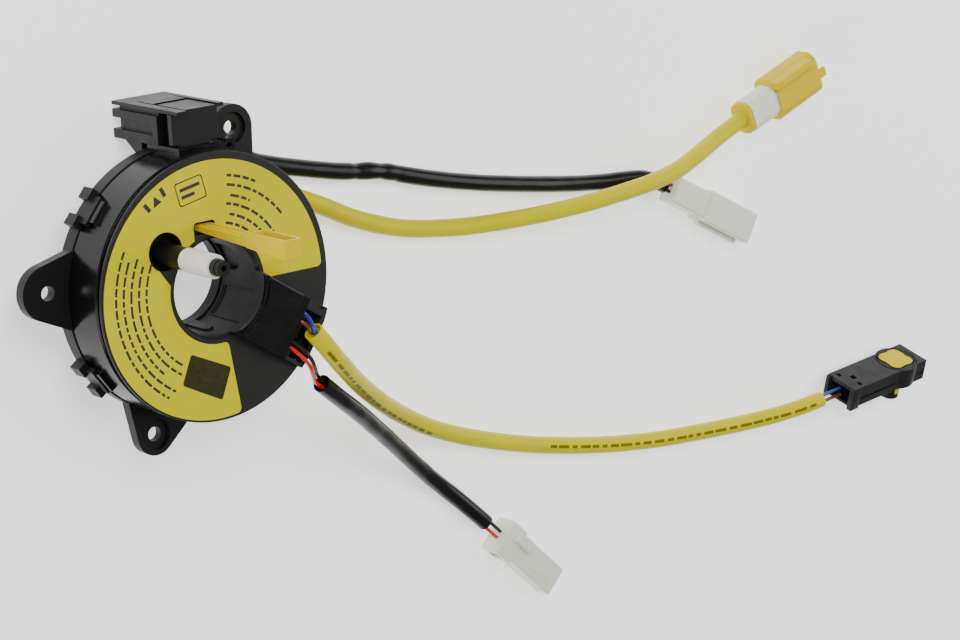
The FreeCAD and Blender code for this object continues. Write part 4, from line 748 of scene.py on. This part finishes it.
for angle in INDEX_BAR_ANGLES:
    inner, outer = (polar(reach, angle) for reach in INDEX_BAR_REACH)
    bar_between(inner[:2], outer[:2], INDEX_BAR_WIDTH, label_marks)
pointer = [polar(radius, angle)[:2] for radius, angle in INDEX_POINTER]
label_marks.append(slab(pointer, PRINT_LOW, PRINT_HIGH))
stroke_round(softened(FRAME_CORNERS, FRAME_ROUNDING), FRAME_STROKE, label_marks)
for start, end, up in FRAME_BARS:
    bar_between(in_frame(start, up), in_frame(end, up), FRAME_BAR_WIDTH, label_marks)
random.seed(LABEL_SEED)
for radius, start, end in LEFT_LINES:
    text_arc(radius, start, end, LEFT_HEIGHT)
for radius, start, end in RIGHT_LINES:
    text_arc(radius, start, end, RIGHT_HEIGHT)
print_piece = new_piece("label_print", joined(label_marks), PRINT)
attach(print_piece, "rotor")
patch_outline = [tuple(corner) for corner in softened(PATCH_CORNERS, PATCH_ROUNDING)]
patch_piece = new_piece("label_patch", joined([slab(patch_outline, PRINT_LOW, PRINT_HIGH)]), PRINT_PATCH)
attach(patch_piece, "rotor")


# Small moulded details, and painted shade in grooves and gaps


def dress(name, shapes, finish, body, place=None):
    """Small details in one finish that move with a body."""
    if place is not None:
        shapes = [moved(shape, place) for shape in shapes]
    piece = new_piece(name, joined(shapes), finish)
    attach(piece, body)
    return piece


# Painted shade on the block's lid: near-black strips where its grooves fall in shade
NOTCH_X = (-5.0, 11.1)
NOTCH_EDGE = 0.2
GROOVE = 0.8
GROOVE_Y = (LID_TOP_Y - 0.2, LID_TOP_Y + 0.03)
LEFT_GROOVE_Z = (-10.2, 21.7)
RIGHT_GROOVE_Z = (-8.6, 17.4)
CROSS_GROOVE_Z = -1.4
dress("lid_groove_shade", [
    brick((NOTCH_X[0] - NOTCH_EDGE, NOTCH_X[0] - NOTCH_EDGE + GROOVE), GROOVE_Y, LEFT_GROOVE_Z),
    brick((NOTCH_X[1] + NOTCH_EDGE - GROOVE, NOTCH_X[1] + NOTCH_EDGE), GROOVE_Y, RIGHT_GROOVE_Z),
    brick(NOTCH_X, GROOVE_Y, (CROSS_GROOVE_Z, CROSS_GROOVE_Z + GROOVE)),
], HOLLOW_SHADE, "housing")

# A raised frame on the bore's wall: two posts and two bands
RIB_RADII = (17.95, 18.9)
RIB_ENDS = (-57.9, -15.1)
RIB_POSTS = ((-57.9, -56.2), (-16.8, -15.1))
RIB_HEIGHT = (3.4, 25.0)
RIB_BANDS = ((24.3, 25.0), (3.4, 4.2))
bore_ribs = [ring_band(*RIB_RADII, *post, *RIB_HEIGHT, 4) for post in RIB_POSTS]
bore_ribs += [ring_band(*RIB_RADII, *RIB_ENDS, *band) for band in RIB_BANDS]
dress("bore_ribs", bore_ribs, DISC_BLACK, "rotor")

# The outlet roof's inner rim and the clips at its two ends
ROOF_FOOT_Z = ROOF_TOP_Z - 0.1
RIM_RADII = (17.9, 19.0)
RIM_ENDS = (-72.0, 5.0)
RIM_RISE = 0.35
CLIP_RADII = (18.6, 20.4)
CLIPS = ((-72.0, -67.5), (-2.0, 2.5))
CLIP_RISE = 0.9
roof_rim = [ring_band(*RIM_RADII, *RIM_ENDS, ROOF_FOOT_Z, ROOF_TOP_Z + RIM_RISE)]
roof_rim += [ring_band(*CLIP_RADII, *clip, ROOF_FOOT_Z, ROOF_TOP_Z + CLIP_RISE, 6) for clip in CLIPS]
dress("roof_rim", roof_rim, GLOSS, "rotor")

# The front airbag connector, from its wires' entry along X, with its lock on the upper side
SWELL_X = 38.4
SWELL = Matrix.Translation((SWELL_X, 0.0, 0.0))
LOCK_Y = 0.3
LOCK_RADIUS = 7.3
LOCK_LOBE = 0.9
LOCK_LOBES = 4
UPPER_Z = (-0.9, 5.1)
LOWER_Z = (-5.1, -1.4)
SNOUT_ROOT_Z = (-7.4, -5.1)
# Radii, ends and heights of the bands round the lock and the snout
SWELL_BANDS = (
    (9.0, 10.1, 0.0, 180.0, *UPPER_Z), (9.0, 10.4, 180.0, 360.0, *UPPER_Z),
    (8.0, 9.3, 0.0, 180.0, *LOWER_Z), (8.0, 10.2, 180.0, 360.0, *LOWER_Z),
)
SNOUT_BANDS = ((4.4, 5.7, 0.0, 180.0, *SNOUT_ROOT_Z), (4.4, 5.7, 180.0, 360.0, *SNOUT_ROOT_Z))
POST_ROUNDING = 0.2
TOP_GAP_Z = (5.0, 5.13)
SOCKET_Z = (4.9, 5.13)
SIDE_GAP_Y = (-8.66, -8.5)
SEAM_Z = (-1.5, -0.85)


def round_lobes(grow, count=64):
    """The lock's lobed outline, grown by a margin."""
    points = []
    for index in range(count):
        angle = 360.0 * index / count
        place = polar(LOCK_RADIUS + grow - LOCK_LOBE * math.cos(math.radians(LOCK_LOBES * angle)), angle)
        points.append((place.x + SWELL_X, place.y + LOCK_Y))
    return points


def lobed_band(inner, outer, low, high):
    """A thin band that follows the lock's outline."""
    inside = round_lobes(inner)
    outside = round_lobes(outer)
    inside.append(inside[0])
    outside.append(outside[0])
    return slab_strip(outside + inside[::-1], low, high)


shells = [moved(ring_band(*band), SWELL) for band in SWELL_BANDS]
shells += [
    brick((-1.3, 4.4), (-9.1, -6.4), (-6.0, 4.8), POST_ROUNDING),
    brick((-1.3, 0.2), (6.4, 8.6), (-5.1, 4.8), POST_ROUNDING),
]
shells += [moved(ring_band(*band), SWELL) for band in SNOUT_BANDS]
airbag_shells = dress("airbag_shells", shells, PLUG_BLACK, "housing", AIRBAG)
# Painted shade on the airbag connector: near-black pieces in the gap round the lock, the seams, the
# wires' entry and the three sockets
airbag_gap_shade = dress("airbag_gap_shade", [
    lobed_band(0.05, 0.75, *TOP_GAP_Z),
    brick((5.2, 29.5), SIDE_GAP_Y, SEAM_Z),
    brick((47.2, 50.9), SIDE_GAP_Y, SEAM_Z),
    brick((4.5, 5.3), SIDE_GAP_Y, (-5.1, -0.85)),
    brick((-0.06, 0.2), (-5.8, 5.8), (-3.9, 3.2)),
    brick((2.7, 4.5), (3.9, 6.3), SOCKET_Z),
    brick((6.8, 9.4), (-1.4, 1.4), SOCKET_Z),
    brick((5.5, 7.3), (-6.7, -4.3), SOCKET_Z),
], HOLLOW_SHADE, "housing", AIRBAG)
airbag_window = dress("airbag_window", [
    brick((37.0, 39.8), (-4.66, -3.6), (-12.0, -9.1)),
], PLUG_YELLOW, "housing", AIRBAG)

front_marks = dress("front_plug_marks", [
    brick((11.0, 35.0), (-3.4, -2.5), (4.55, 4.72)),
    brick((34.0, 34.9), (2.6, 3.5), (4.6, 4.72)),
], PLUG_CREAM, "housing", FRONT_PLUG)


# Floor, light and camera

FLOOR_HALF = 3000
FLOOR_THICKNESS = 1.0
FLOOR_GLOW = 0.9
WORLD_LIGHT = 0.30
# Lights: name, place, target, size and power
LIGHTS = (
    ("key", (-0.35, 0.75, 1.10), (0.08, -0.03, 0.0), (0.8, 0.6), 15.0),
    ("fill", (-0.95, -0.45, 0.55), (0.05, -0.03, 0.0), (0.5, 0.9), 5.0),
    ("back", (0.95, 0.10, 0.65), (0.1, -0.03, 0.0), (0.7, 0.7), 6.0),
)
CAMERA_SENSOR = 36.0
CAMERA_LENS = 101.97
CAMERA_CLIP = (0.05, 20.0)
# The camera's place in metres and its three directions
CAMERA_PLACE = Vector((-0.5442, 0.2322, 0.8222))
RIGHT = Vector((0.7579, -0.0462, 0.6508))
DOWN = Vector((-0.1976, -0.9669, 0.1616))
AHEAD = Vector((0.6218, -0.2510, -0.7419))

floor_outline = [(x * FLOOR_HALF, y * FLOOR_HALF) for x, y in ((-1, -1), (1, -1), (1, 1), (-1, 1))]
floor_mesh = joined([slab(floor_outline, FLOOR_Z - FLOOR_THICKNESS, FLOOR_Z)])
floor = bpy.data.objects.new("floor", floor_mesh)
bpy.context.scene.collection.objects.link(floor)
FLOOR = Finish("floor", (0.90, 0.90, 0.90), 0.75)
FLOOR.set("Emission Color", (1.0, 1.0, 1.0, 1.0)).set("Emission Strength", FLOOR_GLOW)
FLOOR.vary_roughness(4.0, 0.05)
floor_mesh.materials.append(FLOOR.material)

world = bpy.data.worlds.new("studio")
world.use_nodes = True
world.node_tree.nodes["Background"].inputs["Color"].default_value = (1.0, 1.0, 1.0, 1.0)
world.node_tree.nodes["Background"].inputs["Strength"].default_value = WORLD_LIGHT
bpy.context.scene.world = world


def softbox(name, place, target, size, power):
    """A flat light that looks at a place, given in metres."""
    data = bpy.data.lights.new(name, "AREA")
    data.shape = "RECTANGLE"
    data.size = size[0]
    data.size_y = size[1]
    data.energy = power
    lamp = bpy.data.objects.new(name, data)
    bpy.context.scene.collection.objects.link(lamp)
    lamp.location = place
    lamp.rotation_euler = (Vector(target) - Vector(place)).to_track_quat("-Z", "Y").to_euler()


for light in LIGHTS:
    softbox(*light)

camera_data = bpy.data.cameras.new("camera")
camera_data.sensor_width = CAMERA_SENSOR
camera_data.lens = CAMERA_LENS
camera_data.clip_start, camera_data.clip_end = CAMERA_CLIP
camera = bpy.data.objects.new("camera", camera_data)
bpy.context.scene.collection.objects.link(camera)
camera.matrix_world = Matrix((
    (RIGHT.x, -DOWN.x, -AHEAD.x, CAMERA_PLACE.x),
    (RIGHT.y, -DOWN.y, -AHEAD.y, CAMERA_PLACE.y),
    (RIGHT.z, -DOWN.z, -AHEAD.z, CAMERA_PLACE.z),
    (0.0, 0.0, 0.0, 1.0),
))
bpy.context.scene.camera = camera
